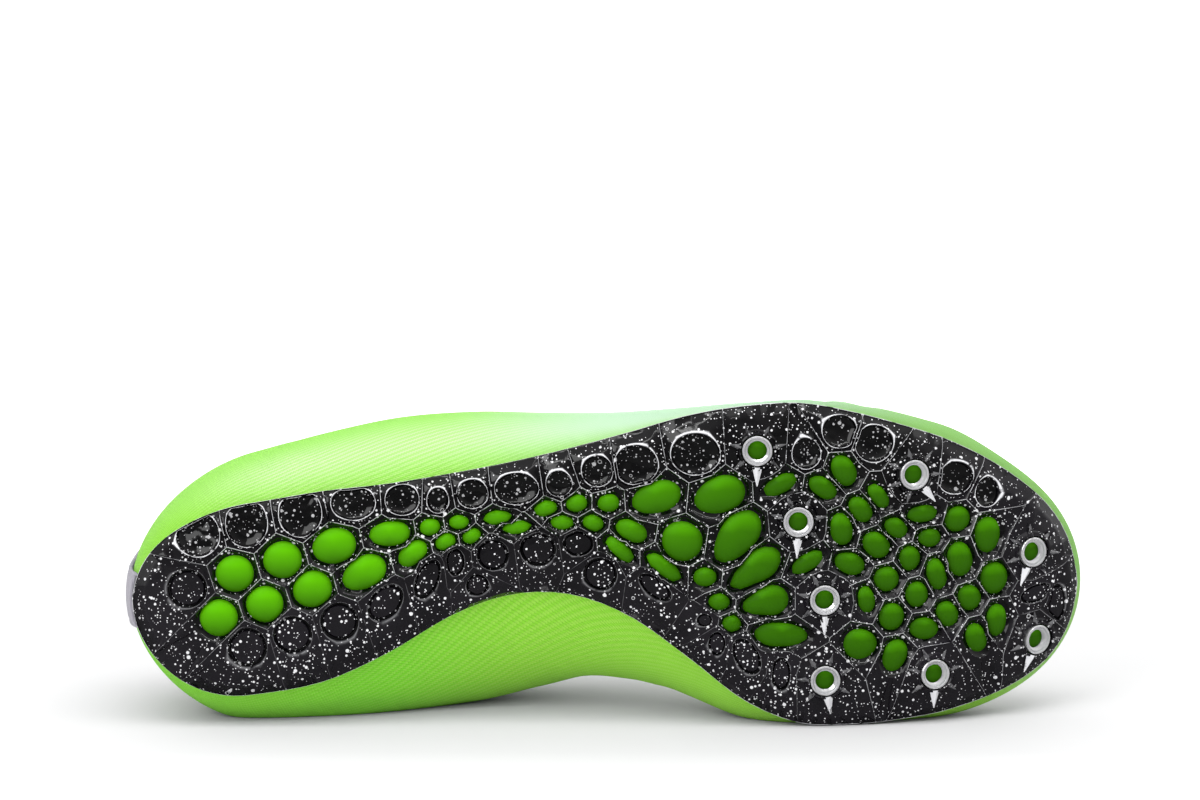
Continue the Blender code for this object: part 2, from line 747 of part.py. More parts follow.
def make_tongue():
    """Runs under the throat from the vamp, and stands free above the top eyelets."""
    rows = []
    steps = 6
    for k in range(steps + 1):
        along = tongue_front + (tongue_back - tongue_front) * k / steps
        overlap = tongue_overlap + (tongue_least_overlap - tongue_overlap) * k / steps
        rows.append(tongue_section(along, climb_at(along, overlap)))
    lean = (rows[-1][4] - rows[-2][4]).normalized()
    middle = rows[-1][4]
    for share, narrow in ((0.34, 0.84), (0.68, 0.82), (0.90, 0.74), (1.0, 0.55)):
        shift = lean * tongue_free_length * share
        row = []
        for point in rows[steps]:
            drawn_in = Vector((0.0, (point.y - middle.y) * (narrow - 1), 0.0))
            row.append(point + shift + drawn_in)
        rows.append(row)
    depth = upper_wall + gap + lining_gap
    bm = bmesh.new()
    top, bottom = [], []
    for k, row in enumerate(rows):
        before, after = rows[max(k - 1, 0)], rows[min(k + 1, len(rows) - 1)]
        top_row, bottom_row = [], []
        for i, point in enumerate(row):
            across = row[min(i + 1, len(row) - 1)] - row[max(i - 1, 0)]
            along = after[i] - before[i]
            down = across.cross(along).normalized()
            if down.z > 0:
                down.negate()
            top_row.append(bm.verts.new(point + depth * down))
            bottom_row.append(bm.verts.new(point + (depth + tongue_thickness) * down))
        top.append(top_row)
        bottom.append(bottom_row)
    join_rings(bm, top, closed=False)
    join_rings(bm, bottom, closed=False)
    rims = []
    for grid in (top, bottom):
        left = [row[0] for row in grid]
        right = [row[-1] for row in reversed(grid)]
        rims.append(grid[0][1:-1][::-1] + left + grid[-1][1:-1] + right)
    join_rings(bm, rims, closed=True)
    return new_object("tongue", laid(bm), LINING)


def climb_at(along, distance):
    """The climb that lies a given distance below the throat's edge."""
    climb, walked = 2.0, 0.0
    while walked < distance and climb > 1.1:
        here = upper_point(along, 1, climb)
        climb -= 0.02
        walked += (upper_point(along, 1, climb) - here).length
    return climb


def eyelet_place(number):
    """Place along the shoe of an eyelet pair, counted from the toe end."""
    return last_eyelet + (first_eyelet - last_eyelet) * number / (eyelet_pairs - 1)


def lace_point(along, side, distance):
    """Where the lace lies on the upper, and the way that its flat face looks."""
    climb = climb_at(along, distance)
    normal = upper_normal(along, side, climb)
    if normal.z < 0:
        normal.negate()
    return upper_point(along, side, climb) + (lace_gap + lace_thickness / 2) * normal, normal


def lace_run(number, side, other_number, lift):
    """A flat length of lace from one eyelet, over the throat, to an eyelet on the other side."""
    start, end = eyelet_place(number), eyelet_place(other_number)
    far = lace_inset + lace_width / 2
    near_edge, far_edge = start + (end - start) * 0.2, start + (end - start) * 0.8
    route = [
        lace_point(start, side, far),
        lace_point(start + (end - start) * 0.1, side, lace_inset / 2),
        lace_point(near_edge, side, 0.0),
        lace_point(far_edge, -side, 0.0),
        lace_point(start + (end - start) * 0.9, -side, lace_inset / 2),
        lace_point(end, -side, far),
    ]
    (before, normal_before), (after, normal_after) = route[2], route[3]
    over = (normal_before + normal_after).normalized()
    route.insert(3, (before.lerp(after, 0.5) + lace_rise * over, over))
    bm = bmesh.new()
    rings = []
    for k, (point, normal) in enumerate(route):
        point = point + lift * normal
        forward = route[min(k + 1, len(route) - 1)][0] - route[max(k - 1, 0)][0]
        sideways = forward.cross(normal).normalized() * lace_width / 2
        upward = normal * lace_thickness / 2
        corners = (sideways + upward, upward - sideways, -sideways - upward, sideways - upward)
        rings.append([bm.verts.new(point + corner) for corner in corners])
    join_rings(bm, rings, closed=True)
    bm.faces.new(rings[0])
    bm.faces.new(rings[-1])
    return bm


def make_laces():
    """Crossings from eyelet to eyelet, joined where they meet; the ends stop at the top pair."""
    runs = [lace_run(0, 1, 0, lace_stagger)]
    for number in range(eyelet_pairs - 1):
        over = lace_stagger * (1 + number % 2)
        runs.append(lace_run(number, 1, number + 1, 2 * over))
        runs.append(lace_run(number, -1, number + 1, over / 2))
    pieces = [helper(f"lace_run_{k}", laid(run)) for k, run in enumerate(runs)]
    for piece in pieces[1:]:
        combine(pieces[0], piece, "UNION")
    bm = applied(pieces[0])
    remove(*pieces)
    bmesh.ops.remove_doubles(bm, verts=bm.verts, dist=0.000002)
    bmesh.ops.triangulate(bm, faces=bm.faces)
    return new_object("laces", bm, LACE)


def make_binding():
    """A round binding that sits on the collar's edge, from one side of the throat to the other."""
    route = [(along, side) for along, side in round_trip() if along < throat_back]
    medial = [column for column in route if column[1] < 0]
    lateral = [column for column in route if column[1] > 0]
    bm = bmesh.new()
    rings = []
    centres = []
    for along, side in medial + lateral:
        edge = upper_point(along, side, 2.0)
        climb = (edge - upper_point(along, side, 1.9)).normalized()
        outward = collar_outward(along, side, climb)
        centre = edge + (binding_gap + binding_radius) * climb - outward * upper_wall / 2
        centre.y = max(centre.y, floor_across + binding_radius + gap)
        centres.append((centre, outward))
    for k, (centre, outward) in enumerate(centres):
        before, after = centres[max(k - 1, 0)][0], centres[min(k + 1, len(centres) - 1)][0]
        forward = (after - before).normalized()
        first = (outward - outward.project(forward)).normalized()
        second = forward.cross(first)
        ring = []
        for n in range(6):
            angle = math.pi / 3 * n
            offset = first * math.cos(angle) + second * math.sin(angle)
            ring.append(bm.verts.new(centre + binding_radius * offset))
        rings.append(ring)
    join_rings(bm, rings, closed=True)
    bm.faces.new(rings[0])
    bm.faces.new(rings[-1])
    return new_object("collar_binding", laid(bm), BLACK_BINDING)


def collar_outward(along, side, climb):
    """Level direction out of the collar, square to the wall."""
    step = 0.004
    low, high = max(along - step, 0.0), along + step
    if along < step:
        ahead = upper_point(step, 1, 2.0) - upper_point(step, -1, 2.0)
        side = 1
    else:
        ahead = upper_point(high, side, 2.0) - upper_point(low, side, 2.0)
    outward = climb.cross(ahead).normalized() * side
    return outward


def centre_on_floor():
    """Moves all pieces together, so that the origin is on the floor under the shoe's middle."""
    graph = bpy.context.evaluated_depsgraph_get()
    corners = []
    for obj in bpy.data.objects:
        shown = obj.evaluated_get(graph)
        corners += [shown.matrix_world @ vert.co for vert in shown.data.vertices]
    low = [min(corner[i] for corner in corners) for i in range(3)]
    high = [max(corner[i] for corner in corners) for i in range(3)]
    shift = Vector((-(low[0] + high[0]) / 2, -(low[1] + high[1]) / 2, -low[2]))
    for obj in bpy.data.objects:
        obj.location += shift


def main():
    for obj in list(bpy.data.objects):
        bpy.data.objects.remove(obj, do_unlink=True)
    make_outsole()
    make_sockets()
    make_board()
    make_insole()
    make_upper()
    make_heel_strip()
    make_tongue()
    make_laces()
    make_binding()
    centre_on_floor()


main()
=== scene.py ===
"""Track spike shoe, right foot, lying on its medial side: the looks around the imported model.

The shoe is worked out in shoe coordinates: along from heel to toe, across towards the lateral
side, and height from the ground plane of the sole. laid() turns a finished mesh into the way
that the shoe lies: +X heel to toe, +Y from sole to collar, +Z from medial up to lateral.
"""
import math
from bisect import bisect_right
from collections import namedtuple

import bmesh
import bpy
from bpy.props import FloatProperty, FloatVectorProperty, PointerProperty
from mathutils import Matrix, Vector


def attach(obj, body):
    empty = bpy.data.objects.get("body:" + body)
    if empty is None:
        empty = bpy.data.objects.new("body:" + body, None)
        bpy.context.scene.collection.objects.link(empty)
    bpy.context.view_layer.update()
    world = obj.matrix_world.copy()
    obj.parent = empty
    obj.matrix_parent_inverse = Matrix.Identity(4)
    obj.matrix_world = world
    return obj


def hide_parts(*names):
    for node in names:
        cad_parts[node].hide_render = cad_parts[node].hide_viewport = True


bl_info = {
    "name": "Track spike shoe",
    "version": (1, 0, 0),
    "blender": (4, 5, 0),
    "location": "3D View > Sidebar > Track Spike",
    "description": "Builds a track spike shoe around its packed model",
    "category": "Object",
}

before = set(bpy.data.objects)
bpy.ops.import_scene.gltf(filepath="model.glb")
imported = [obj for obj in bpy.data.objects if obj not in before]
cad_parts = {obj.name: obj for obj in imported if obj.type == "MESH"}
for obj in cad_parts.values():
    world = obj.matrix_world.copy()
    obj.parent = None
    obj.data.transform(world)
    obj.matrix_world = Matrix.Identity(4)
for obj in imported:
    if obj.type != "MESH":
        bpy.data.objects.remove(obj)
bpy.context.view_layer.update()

# Main sizes of the last, in metres
shoe_length = 0.278
ball_width = 0.0958
instep_height = 0.076
toe_spring = 0.028
arch_lift = 0.003
edge_lift = 0.0022
plate_thickness = 0.0030
board_thickness = 0.0016
insole_thickness = 0.0028
upper_wall = 0.0016
heel_bulge = 0.0016
toe_bulge = 0.0008
upper_inset = 0.0004
gap = 0.0003
lining_gap = 0.0006
socket_radius = 0.00435
socket_bore = 0.0031
socket_lip = 0.0009
socket_flange = 0.0010
socket_waist = 0.00385
throat_half_gap = 0.0080
throat_middle = -0.0050
tongue_overlap = 0.0115
tongue_least_overlap = 0.0020
tongue_free_length = 0.026
lace_gap = 0.0006
lace_stagger = 0.00022
lace_inset = 0.0062
eyelet_pairs = 6
binding_gap = 0.0006
strip_gap = 0.0005

# Places along the shoe, as shares of its length
heel_round = 0.126
toe_round = 0.162
spring_start = 0.680
throat_front = 0.700
throat_back = 0.455
tongue_front = 0.690
tongue_back = 0.463
last_eyelet = 0.675
first_eyelet = 0.475
end_share = 6 / 27

lower_arc = math.radians(55.0)
crown_arc = math.radians(74.0)
turn_up_start = 0.72
floor_across = -0.5115 * ball_width

# Metres of wall to one step of climb, from the sole to the widest line
climb_length = 0.038

# Where the shoe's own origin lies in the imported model
shoe_origin = Vector((-0.13776, -0.03788, 0.0490))

# Sole: middle line and half width, as shares of the ball width
SolePlan = namedtuple("SolePlan", "along middle half_width")
SOLE_PLAN = [
    SolePlan(0.00, -0.127, 0.298),
    SolePlan(0.06, -0.135, 0.300),
    SolePlan(0.12, -0.121, 0.302),
    SolePlan(0.20, -0.081, 0.300),
    SolePlan(0.27, -0.025, 0.267),
    SolePlan(0.34, 0.050, 0.225),
    SolePlan(0.40, 0.096, 0.213),
    SolePlan(0.46, 0.117, 0.234),
    SolePlan(0.52, 0.109, 0.290),
    SolePlan(0.58, 0.073, 0.376),
    SolePlan(0.64, 0.021, 0.457),
    SolePlan(0.70, -0.010, 0.496),
    SolePlan(0.76, -0.030, 0.483),
    SolePlan(0.82, -0.049, 0.450),
    SolePlan(0.88, -0.070, 0.412),
    SolePlan(0.94, -0.096, 0.396),
    SolePlan(1.00, -0.121, 0.412),
]

# Widest line of the upper: edges as shares of the ball width, heights above the sole as shares
# of the instep height
WidestLine = namedtuple("WidestLine", "along lateral medial lateral_rise medial_rise")
WIDEST_LINE = [
    WidestLine(0.00, 0.215, -0.480, 0.36, 0.33),
    WidestLine(0.06, 0.240, -0.505, 0.36, 0.30),
    WidestLine(0.12, 0.280, -0.522, 0.37, 0.29),
    WidestLine(0.20, 0.345, -0.524, 0.39, 0.33),
    WidestLine(0.28, 0.392, -0.522, 0.42, 0.42),
    WidestLine(0.36, 0.408, -0.510, 0.43, 0.56),
    WidestLine(0.43, 0.407, -0.464, 0.40, 0.58),
    WidestLine(0.50, 0.415, -0.424, 0.33, 0.52),
    WidestLine(0.57, 0.437, -0.450, 0.26, 0.38),
    WidestLine(0.64, 0.462, -0.510, 0.20, 0.23),
    WidestLine(0.71, 0.476, -0.523, 0.165, 0.16),
    WidestLine(0.78, 0.448, -0.522, 0.155, 0.15),
    WidestLine(0.85, 0.390, -0.512, 0.150, 0.145),
    WidestLine(0.92, 0.322, -0.512, 0.140, 0.140),
    WidestLine(1.00, 0.290, -0.530, 0.120, 0.120),
]

# Top edge of the upper, round the collar and down the throat
TopEdge = namedtuple("TopEdge", "along lateral medial height")
TOP_EDGE = [
    TopEdge(0.00, 0.120, -0.375, 0.850),
    TopEdge(0.07, 0.140, -0.405, 0.805),
    TopEdge(0.15, 0.175, -0.455, 0.715),
    TopEdge(0.22, 0.215, -0.495, 0.680),
    TopEdge(0.29, 0.250, -0.516, 0.720),
    TopEdge(0.35, 0.235, -0.516, 0.800),
    TopEdge(0.41, 0.185, -0.405, 0.895),
    TopEdge(0.455, 0.125, -0.265, 0.960),
    TopEdge(0.54, 0.095, -0.225, 0.870),
    TopEdge(0.62, 0.065, -0.180, 0.770),
    TopEdge(0.70, 0.031, -0.136, 0.665),
]

# Open cells, blind pockets on the lateral side, and ringed pockets on the heel and medial side:
# place as shares of length and ball width, size as shares of length, turn in degrees
Cell = namedtuple("Cell", "along across long wide turn")
OPEN_CELLS = [
    Cell(0.109, -0.037, 0.038, 0.0365, 0),
    Cell(0.159, 0.005, 0.039, 0.037, 10),
    Cell(0.213, 0.047, 0.0455, 0.035, 15),
    Cell(0.271, 0.083, 0.042, 0.022, 5),
    Cell(0.092, -0.173, 0.038, 0.037, 0),
    Cell(0.14, -0.131, 0.037, 0.0365, 0),
    Cell(0.19, -0.085, 0.04, 0.036, 25),
    Cell(0.244, -0.036, 0.049, 0.031, 30),
    Cell(0.295, 0.022, 0.032, 0.018, 40),
    Cell(0.313, 0.102, 0.017, 0.012, 15),
    Cell(0.329, 0.057, 0.0175, 0.0115, 25),
    Cell(0.343, 0.116, 0.016, 0.0085, 0),
    Cell(0.356, 0.074, 0.015, 0.0095, 25),
    Cell(0.383, 0.13, 0.0265, 0.008, 5),
    Cell(0.403, 0.1, 0.0275, 0.007, 5),
    Cell(0.433, 0.158, 0.02, 0.0105, 15),
    Cell(0.465, 0.174, 0.0175, 0.013, 10),
    Cell(0.45, 0.116, 0.02, 0.009, -5),
    Cell(0.482, 0.115, 0.0175, 0.0115, -15),
    Cell(0.498, 0.176, 0.018, 0.013, 10),
    Cell(0.522, 0.092, 0.032, 0.017, -25),
    Cell(0.51, 0.035, 0.036, 0.0095, -42),
    Cell(0.556, -0.018, 0.043, 0.012, -38),
    Cell(0.548, 0.195, 0.053, 0.03, 18),
    Cell(0.614, 0.203, 0.055, 0.036, 20),
    Cell(0.575, 0.062, 0.042, 0.04, -40),
    Cell(0.632, 0.075, 0.0645, 0.036, 52),
    Cell(0.651, -0.024, 0.0635, 0.0265, 38),
    Cell(0.662, -0.124, 0.049, 0.0265, 15),
    Cell(0.679, -0.225, 0.057, 0.021, -2),
    Cell(0.599, -0.048, 0.02, 0.014, 0),
    Cell(0.614, -0.124, 0.017, 0.012, 0),
    Cell(0.627, -0.191, 0.015, 0.012, 0),
    Cell(0.677, 0.235, 0.036, 0.013, 28),
    Cell(0.722, 0.226, 0.03, 0.015, -33),
    Cell(0.744, 0.277, 0.032, 0.02, -62),
    Cell(0.781, 0.196, 0.0265, 0.011, -52),
    Cell(0.762, 0.157, 0.0265, 0.017, -50),
    Cell(0.742, 0.098, 0.032, 0.019, -80),
    Cell(0.779, 0.047, 0.0285, 0.021, -40),
    Cell(0.8, 0.097, 0.022, 0.015, -30),
    Cell(0.828, 0.136, 0.03, 0.012, 5),
    Cell(0.836, 0.062, 0.02, 0.014, 0),
    Cell(0.815, 0.002, 0.022, 0.018, 90),
    Cell(0.866, 0.114, 0.024, 0.022, 25),
    Cell(0.899, 0.06, 0.036, 0.024, 90),
    Cell(0.869, -0.009, 0.035, 0.024, -80),
    Cell(0.844, -0.051, 0.032, 0.016, -75),
    Cell(0.907, -0.076, 0.031, 0.0265, 90),
    Cell(0.79, -0.059, 0.023, 0.022, 0),
    Cell(0.751, -0.008, 0.03, 0.018, -20),
    Cell(0.706, -0.003, 0.036, 0.012, 32),
    Cell(0.769, -0.12, 0.025, 0.012, -80),
    Cell(0.823, -0.111, 0.023, 0.02, 90),
    Cell(0.88, -0.13, 0.024, 0.021, -60),
    Cell(0.796, -0.176, 0.025, 0.023, 90),
    Cell(0.856, -0.176, 0.024, 0.019, -60),
    Cell(0.831, -0.217, 0.0285, 0.018, -5),
    Cell(0.91, -0.207, 0.032, 0.017, 90),
    Cell(0.888, -0.256, 0.0285, 0.017, -70),
    Cell(0.763, -0.257, 0.033, 0.0285, 0),
    Cell(0.8, -0.296, 0.032, 0.021, 70),
]

BLIND_POCKETS = [
    Cell(0.071, 0.084, 0.0455, 0.0455, 0),
    Cell(0.122, 0.118, 0.049, 0.043, 90),
    Cell(0.178, 0.149, 0.049, 0.044, 90),
    Cell(0.233, 0.18, 0.0455, 0.035, 0),
    Cell(0.284, 0.189, 0.035, 0.032, 0),
    Cell(0.321, 0.186, 0.0265, 0.022, 90),
    Cell(0.357, 0.205, 0.032, 0.03, 0),
    Cell(0.403, 0.22, 0.0455, 0.033, 0),
    Cell(0.447, 0.236, 0.0265, 0.0265, 0),
    Cell(0.487, 0.276, 0.032, 0.032, 0),
    Cell(0.527, 0.296, 0.0455, 0.041, 0),
    Cell(0.589, 0.33, 0.051, 0.043, 0),
    Cell(0.704, 0.332, 0.032, 0.029, 90),
    Cell(0.739, 0.398, 0.036, 0.034, 0),
    Cell(0.775, 0.359, 0.04, 0.038, 0),
    Cell(0.862, 0.244, 0.038, 0.033, 0),
    Cell(0.896, 0.194, 0.031, 0.025, 90),
]

RINGED_POCKETS = [
    Cell(0.06, -0.081, 0.041, 0.041, 0),
    Cell(0.122, -0.261, 0.041, 0.041, 0),
    Cell(0.169, -0.223, 0.041, 0.039, 0),
    Cell(0.218, -0.183, 0.04, 0.04, 45),
    Cell(0.266, -0.126, 0.0445, 0.03, 47),
    Cell(0.31, -0.055, 0.0445, 0.023, 65),
    Cell(0.339, -0.004, 0.0285, 0.019, 90),
    Cell(0.378, 0.017, 0.033, 0.033, 0),
    Cell(0.425, 0.035, 0.038, 0.035, 0),
    Cell(0.467, 0.053, 0.032, 0.0265, 0),
    Cell(0.362, -0.076, 0.023, 0.023, 0),
    Cell(0.49, -0.04, 0.035, 0.035, 0),
    Cell(0.547, -0.078, 0.04, 0.019, -38),
    Cell(0.599, -0.179, 0.015, 0.013, 0),
    Cell(0.612, -0.251, 0.025, 0.017, 90),
    Cell(0.643, -0.29, 0.042, 0.025, -60),
    Cell(0.679, -0.344, 0.035, 0.019, 90),
    Cell(0.952, -0.133, 0.036, 0.018, 15),
    Cell(0.975, -0.17, 0.04, 0.02, 90),
]

# How much wider some open cells are at one end than in the middle, by their place in the list
CELL_TAPERS = {3: 0.10, 7: 0.12, 23: 0.10, 24: 0.12, 26: 0.16, 27: 0.30, 28: 0.34, 29: -0.10, 60: -0.12}

# Spike sockets: place as shares of length and ball width, first fin's turn in degrees, and how
# bright that fin's painted highlight is
SpikeSocket = namedtuple("SpikeSocket", "along across fin_turn fin_shine")
SPIKE_SOCKETS = [
    SpikeSocket(0.653, 0.341, 90, 4.0),
    SpikeSocket(0.696, 0.124, 88, 4.0),
    SpikeSocket(0.724, -0.116, 90, 4.0),
    SpikeSocket(0.725, -0.364, 100, 1.2),
    SpikeSocket(0.817, 0.260, 128, 4.0),
    SpikeSocket(0.841, -0.357, 90, 1.2),
    SpikeSocket(0.946, -0.002, 70, 2.2),
    SpikeSocket(0.952, -0.276, 70, 1.2),
]

# Soft folds and swellings of the knit: place, size along and across the fold in metres, turn in
# degrees, and depth, where a positive one swells out
Fold = namedtuple("Fold", "along side climb length width turn depth")
KNIT_FOLDS = [
    Fold(0.30, -1, 0.62, 0.030, 0.0060, 12, -0.00045),
    Fold(0.37, -1, 0.80, 0.034, 0.0055, 24, 0.00035),
    Fold(0.44, -1, 0.70, 0.026, 0.0050, 40, -0.00040),
    Fold(0.51, -1, 0.85, 0.024, 0.0045, 55, 0.00030),
    Fold(0.57, -1, 0.95, 0.022, 0.0040, 62, -0.00030),
    Fold(0.20, -1, 0.75, 0.026, 0.0070, -8, 0.00035),
    Fold(0.34, 1, 0.70, 0.040, 0.0080, 6, 0.00030),
    Fold(0.48, 1, 0.85, 0.036, 0.0060, -4, -0.00030),
    Fold(0.735, 1, 1.35, 0.016, 0.0032, 70, -0.00060),
    Fold(0.755, 1, 1.45, 0.016, 0.0030, 76, 0.00045),
    Fold(0.775, 1, 1.38, 0.016, 0.0032, 80, -0.00050),
    Fold(0.735, -1, 1.40, 0.016, 0.0032, -70, -0.00060),
    Fold(0.757, -1, 1.50, 0.016, 0.0030, -74, 0.00045),
    Fold(0.780, -1, 1.42, 0.016, 0.0032, -80, -0.00050),
    Fold(0.16, 1, 1.45, 0.014, 0.0040, 30, -0.00040),
    Fold(0.17, -1, 1.45, 0.014, 0.0040, -30, -0.00040),
]


def length(name, description, value, low, high):
    return FloatProperty(
        name=name, description=description, default=value, min=low, max=high, precision=5,
        unit="LENGTH", subtype="DISTANCE")


def power(name, description, value):
    return FloatProperty(
        name=name, description=description, default=value, min=0.0, unit="POWER", subtype="POWER")


def colour(name, description, value):
    return FloatVectorProperty(
        name=name, description=description, default=value, min=0.0, max=1.0, size=3, subtype="COLOR")


class SpikeSizes(bpy.types.PropertyGroup):
    """Sizes of the details that can be changed."""

    ridge_width: length(
        "Ridge width", "Width of one flank of the thin ridges between cells", 0.00022, 0.0001, 0.001)
    web_drop: length("Web drop", "How far the web lies below the ridges", 0.00070, 0.0, 0.0012)
    funnel_depth: length(
        "Funnel depth", "Depth at which a cell's funnel meets its hole", 0.0018, 0.0005, 0.0026)
    pocket_depth: length(
        "Pocket depth", "Depth of the round pockets on the lateral side", 0.0021, 0.0003, 0.0026)
    tile_step: length(
        "Tile step", "Distance between points along the cells' edges", 0.00085, 0.0004, 0.003)
    fin_height: length("Fin height", "Half height of the fins round a socket", 0.0013, 0.0003, 0.002)
    dome_height: length(
        "Dome height", "How far the green domes rise from the board", 0.0015, 0.0003, 0.0026)
    lace_width: length("Lace width", "Width of the flat lace", 0.0056, 0.003, 0.008)
    lace_thickness: length("Lace thickness", "Thickness of the flat lace", 0.0012, 0.0006, 0.002)
    binding_radius: length(
        "Binding radius", "Radius of the binding round the collar", 0.0010, 0.0005, 0.002)
    strip_width: length(
        "Heel strip width", "Width of the strip up the back of the heel", 0.0158, 0.006, 0.02)
    strip_thickness: length(
        "Heel strip thickness", "Thickness of the strip up the back of the heel", 0.0012, 0.0004, 0.002)
    tongue_thickness: length("Tongue thickness", "Thickness of the tongue", 0.0026, 0.001, 0.004)
    knit_pitch: length(
        "Knit pitch", "Distance between the knit's diagonal rows", 0.00066, 0.0004, 0.003)


class SpikeColours(bpy.types.PropertyGroup):
    """Colours of the shoe and its stage."""

    plate_black: colour("Plate black", "Deepest colour of the plate", (0.0010, 0.0010, 0.0013))
    plate_charcoal: colour("Plate charcoal", "Lighter zones of the plate", (0.0120, 0.0105, 0.0140))
    # Painted highlight: the colour that the crests, pocket rims, plate rim and socket fins are turned
    # towards
    crest_highlight: colour("Crest highlight", "Bright crests of the plate's ridges", (0.85, 0.85, 0.88))
    speckle: colour("Speckle", "Paint speckles on the plate", (0.86, 0.86, 0.88))
    dome_green: colour("Dome green", "Domes of the board", (0.118, 0.520, 0.0005))
    knit_green: colour("Knit green", "Main thread of the upper", (0.185, 0.720, 0.008))
    knit_yellow: colour("Knit yellow", "Second thread of the upper", (0.400, 0.800, 0.045))
    knit_mint: colour("Knit mint", "Pale part of the lateral side", (0.600, 0.860, 0.640))
    knit_cream: colour("Knit cream", "Pale threads next to the plate", (0.700, 0.900, 0.500))
    strip_grey: colour("Strip grey", "Strip up the back of the heel", (0.400, 0.385, 0.440))
    binding_black: colour("Binding black", "Binding round the collar", (0.012, 0.012, 0.013))
    metal: colour("Socket metal", "Turned spike sockets", (0.92, 0.92, 0.94))
    lining: colour("Lining", "Lining, insole and tongue", (0.030, 0.032, 0.036))
    lace: colour("Lace", "Flat laces", (0.74, 0.80, 0.75))
    floor: colour("Floor", "Plain floor", (0.93, 0.93, 0.935))


class SpikeStage(bpy.types.PropertyGroup):
    """Camera and light."""

    camera_distance: FloatProperty(
        name="Camera distance", description="From the camera to the shoe's middle",
        default=1.440, min=0.5, max=4.0, unit="LENGTH", subtype="DISTANCE")
    camera_elevation: FloatProperty(
        name="Camera elevation", description="Height of the camera over the horizon",
        default=math.radians(8.0), min=0.0, max=1.5, unit="ROTATION", subtype="ANGLE")
    sky_strength: FloatProperty(
        name="Sky strength", description="Strength of the even studio light", default=1.0, min=0.0)
    floor_lift: FloatProperty(
        name="Floor lift", description="Even light that the floor gives off, away from the shoe",
        default=1.0, min=0.0)
    top_power: power("Top light", "Power of the softbox above", 4.8)
    strip_power: power("Strip light", "Power of the narrow light that draws the ridges", 2.2)
    front_power: power("Front light", "Power of the softbox beside the camera", 6.0)


# The last

class Curve:
    """A smooth curve through one column of a table."""

    def __init__(self, table, column):
        self.places = [row.along for row in table]
        self.values = [getattr(row, column) for row in table]
        last = len(table) - 1
        self.slopes = []
        for i in range(last + 1):
            before, after = max(i - 1, 0), min(i + 1, last)
            rise = self.values[after] - self.values[before]
            self.slopes.append(rise / (self.places[after] - self.places[before]))

    def __call__(self, along):
        if along <= self.places[0]:
            return self.values[0]
        if along >= self.places[-1]:
            return self.values[-1]
        k = bisect_right(self.places, along) - 1
        span = self.places[k + 1] - self.places[k]
        t = (along - self.places[k]) / span
        start, end = self.values[k], self.values[k + 1]
        leave, arrive = span * self.slopes[k], span * self.slopes[k + 1]
        return ((2 * t**3 - 3 * t**2 + 1) * start + (t**3 - 2 * t**2 + t) * leave
                + (3 * t**2 - 2 * t**3) * end + (t**3 - t**2) * arrive)


sole_middle_share = Curve(SOLE_PLAN, "middle")
sole_half_share = Curve(SOLE_PLAN, "half_width")
widest_lateral = Curve(WIDEST_LINE, "lateral")
widest_medial = Curve(WIDEST_LINE, "medial")
widest_lateral_rise = Curve(WIDEST_LINE, "lateral_rise")
widest_medial_rise = Curve(WIDEST_LINE, "medial_rise")
top_lateral = Curve(TOP_EDGE, "lateral")
top_medial = Curve(TOP_EDGE, "medial")
top_height = Curve(TOP_EDGE, "height")


def clamped(value):
    return min(max(value, 0.0), 1.0)


def into_end(along):
    """How far a place lies into a rounded end: 0 on the sides, 1 at the tip."""
    if along < heel_round:
        return 1 - along / heel_round
    if along > 1 - toe_round:
        return (along - 1 + toe_round) / toe_round
    return 0.0


def along_at(share):
    """Place along the shoe, closer together at its rounded ends, from heel tip to toe tip."""
    if share < end_share:
        return heel_round * (1 - math.cos(math.radians(90 * share / end_share)))
    if share > 1 - end_share:
        return 1 - toe_round * (1 - math.cos(math.radians(90 * (1 - share) / end_share)))
    side_span = 1 - heel_round - toe_round
    return heel_round + side_span * (share - end_share) / (1 - 2 * end_share)


def place_round(share):
    """Along and side at a share of the way round: lateral side first, then back on the medial."""
    if share <= 0.5:
        return along_at(2 * share), 1
    return along_at(2 - 2 * share), -1


def sole_middle(along):
    return ball_width * sole_middle_share(along)


def sole_half_width(along):
    return ball_width * sole_half_share(along)


def sole_height(x, w):
    """Height of the sole's outer face over the ground plane."""
    along = clamped(x / shoe_length)
    spring = max(0.0, (along - spring_start) / (1 - spring_start))
    edge = (w - sole_middle(along)) / sole_half_width(along)
    radius = math.hypot(into_end(along), edge)
    turn_up = max(0.0, (radius - turn_up_start) / (1 - turn_up_start))
    arch = math.exp(-((along - 0.40) / 0.13) ** 2)
    return toe_spring * spring**2 + edge_lift * min(turn_up, 1.6) ** 2 + arch_lift * arch


def over_sole(x, w, rise):
    """A point at a given distance from the sole's outer face, in towards the foot."""
    step = 0.0005
    slope_x = (sole_height(x + step, w) - sole_height(x - step, w)) / (2 * step)
    slope_w = (sole_height(x, w + step) - sole_height(x, w - step)) / (2 * step)
    normal = Vector((-slope_x, -slope_w, 1.0)).normalized()
    return Vector((x, w, sole_height(x, w))) + rise * normal


def onto_floor(point, clear=0.0):
    """What would reach below the floor is pressed flat against it."""
    return Vector((point.x, max(point.y, floor_across + clear), point.z))


def sole_edge(along, side, inset, share=1.0):
    """A point of the sole's plan outline, or of a smaller outline inside it."""
    end = into_end(along)
    breadth = math.sqrt(max(0.0, 1 - end**2)) * share
    middle_x = shoe_length * min(max(along, heel_round), 1 - toe_round)
    x = middle_x + (shoe_length * along - middle_x) * share
    reach = inset * end
    x += reach if along < 0.5 else -reach
    place = clamped(x / shoe_length)
    w = sole_middle(place) + side * (sole_half_width(place) - inset) * breadth
    return x, max(w, floor_across + inset)


def foot_of_upper(along, side):
    x, w = sole_edge(along, side, upper_inset)
    return over_sole(x, w, plate_thickness + gap)


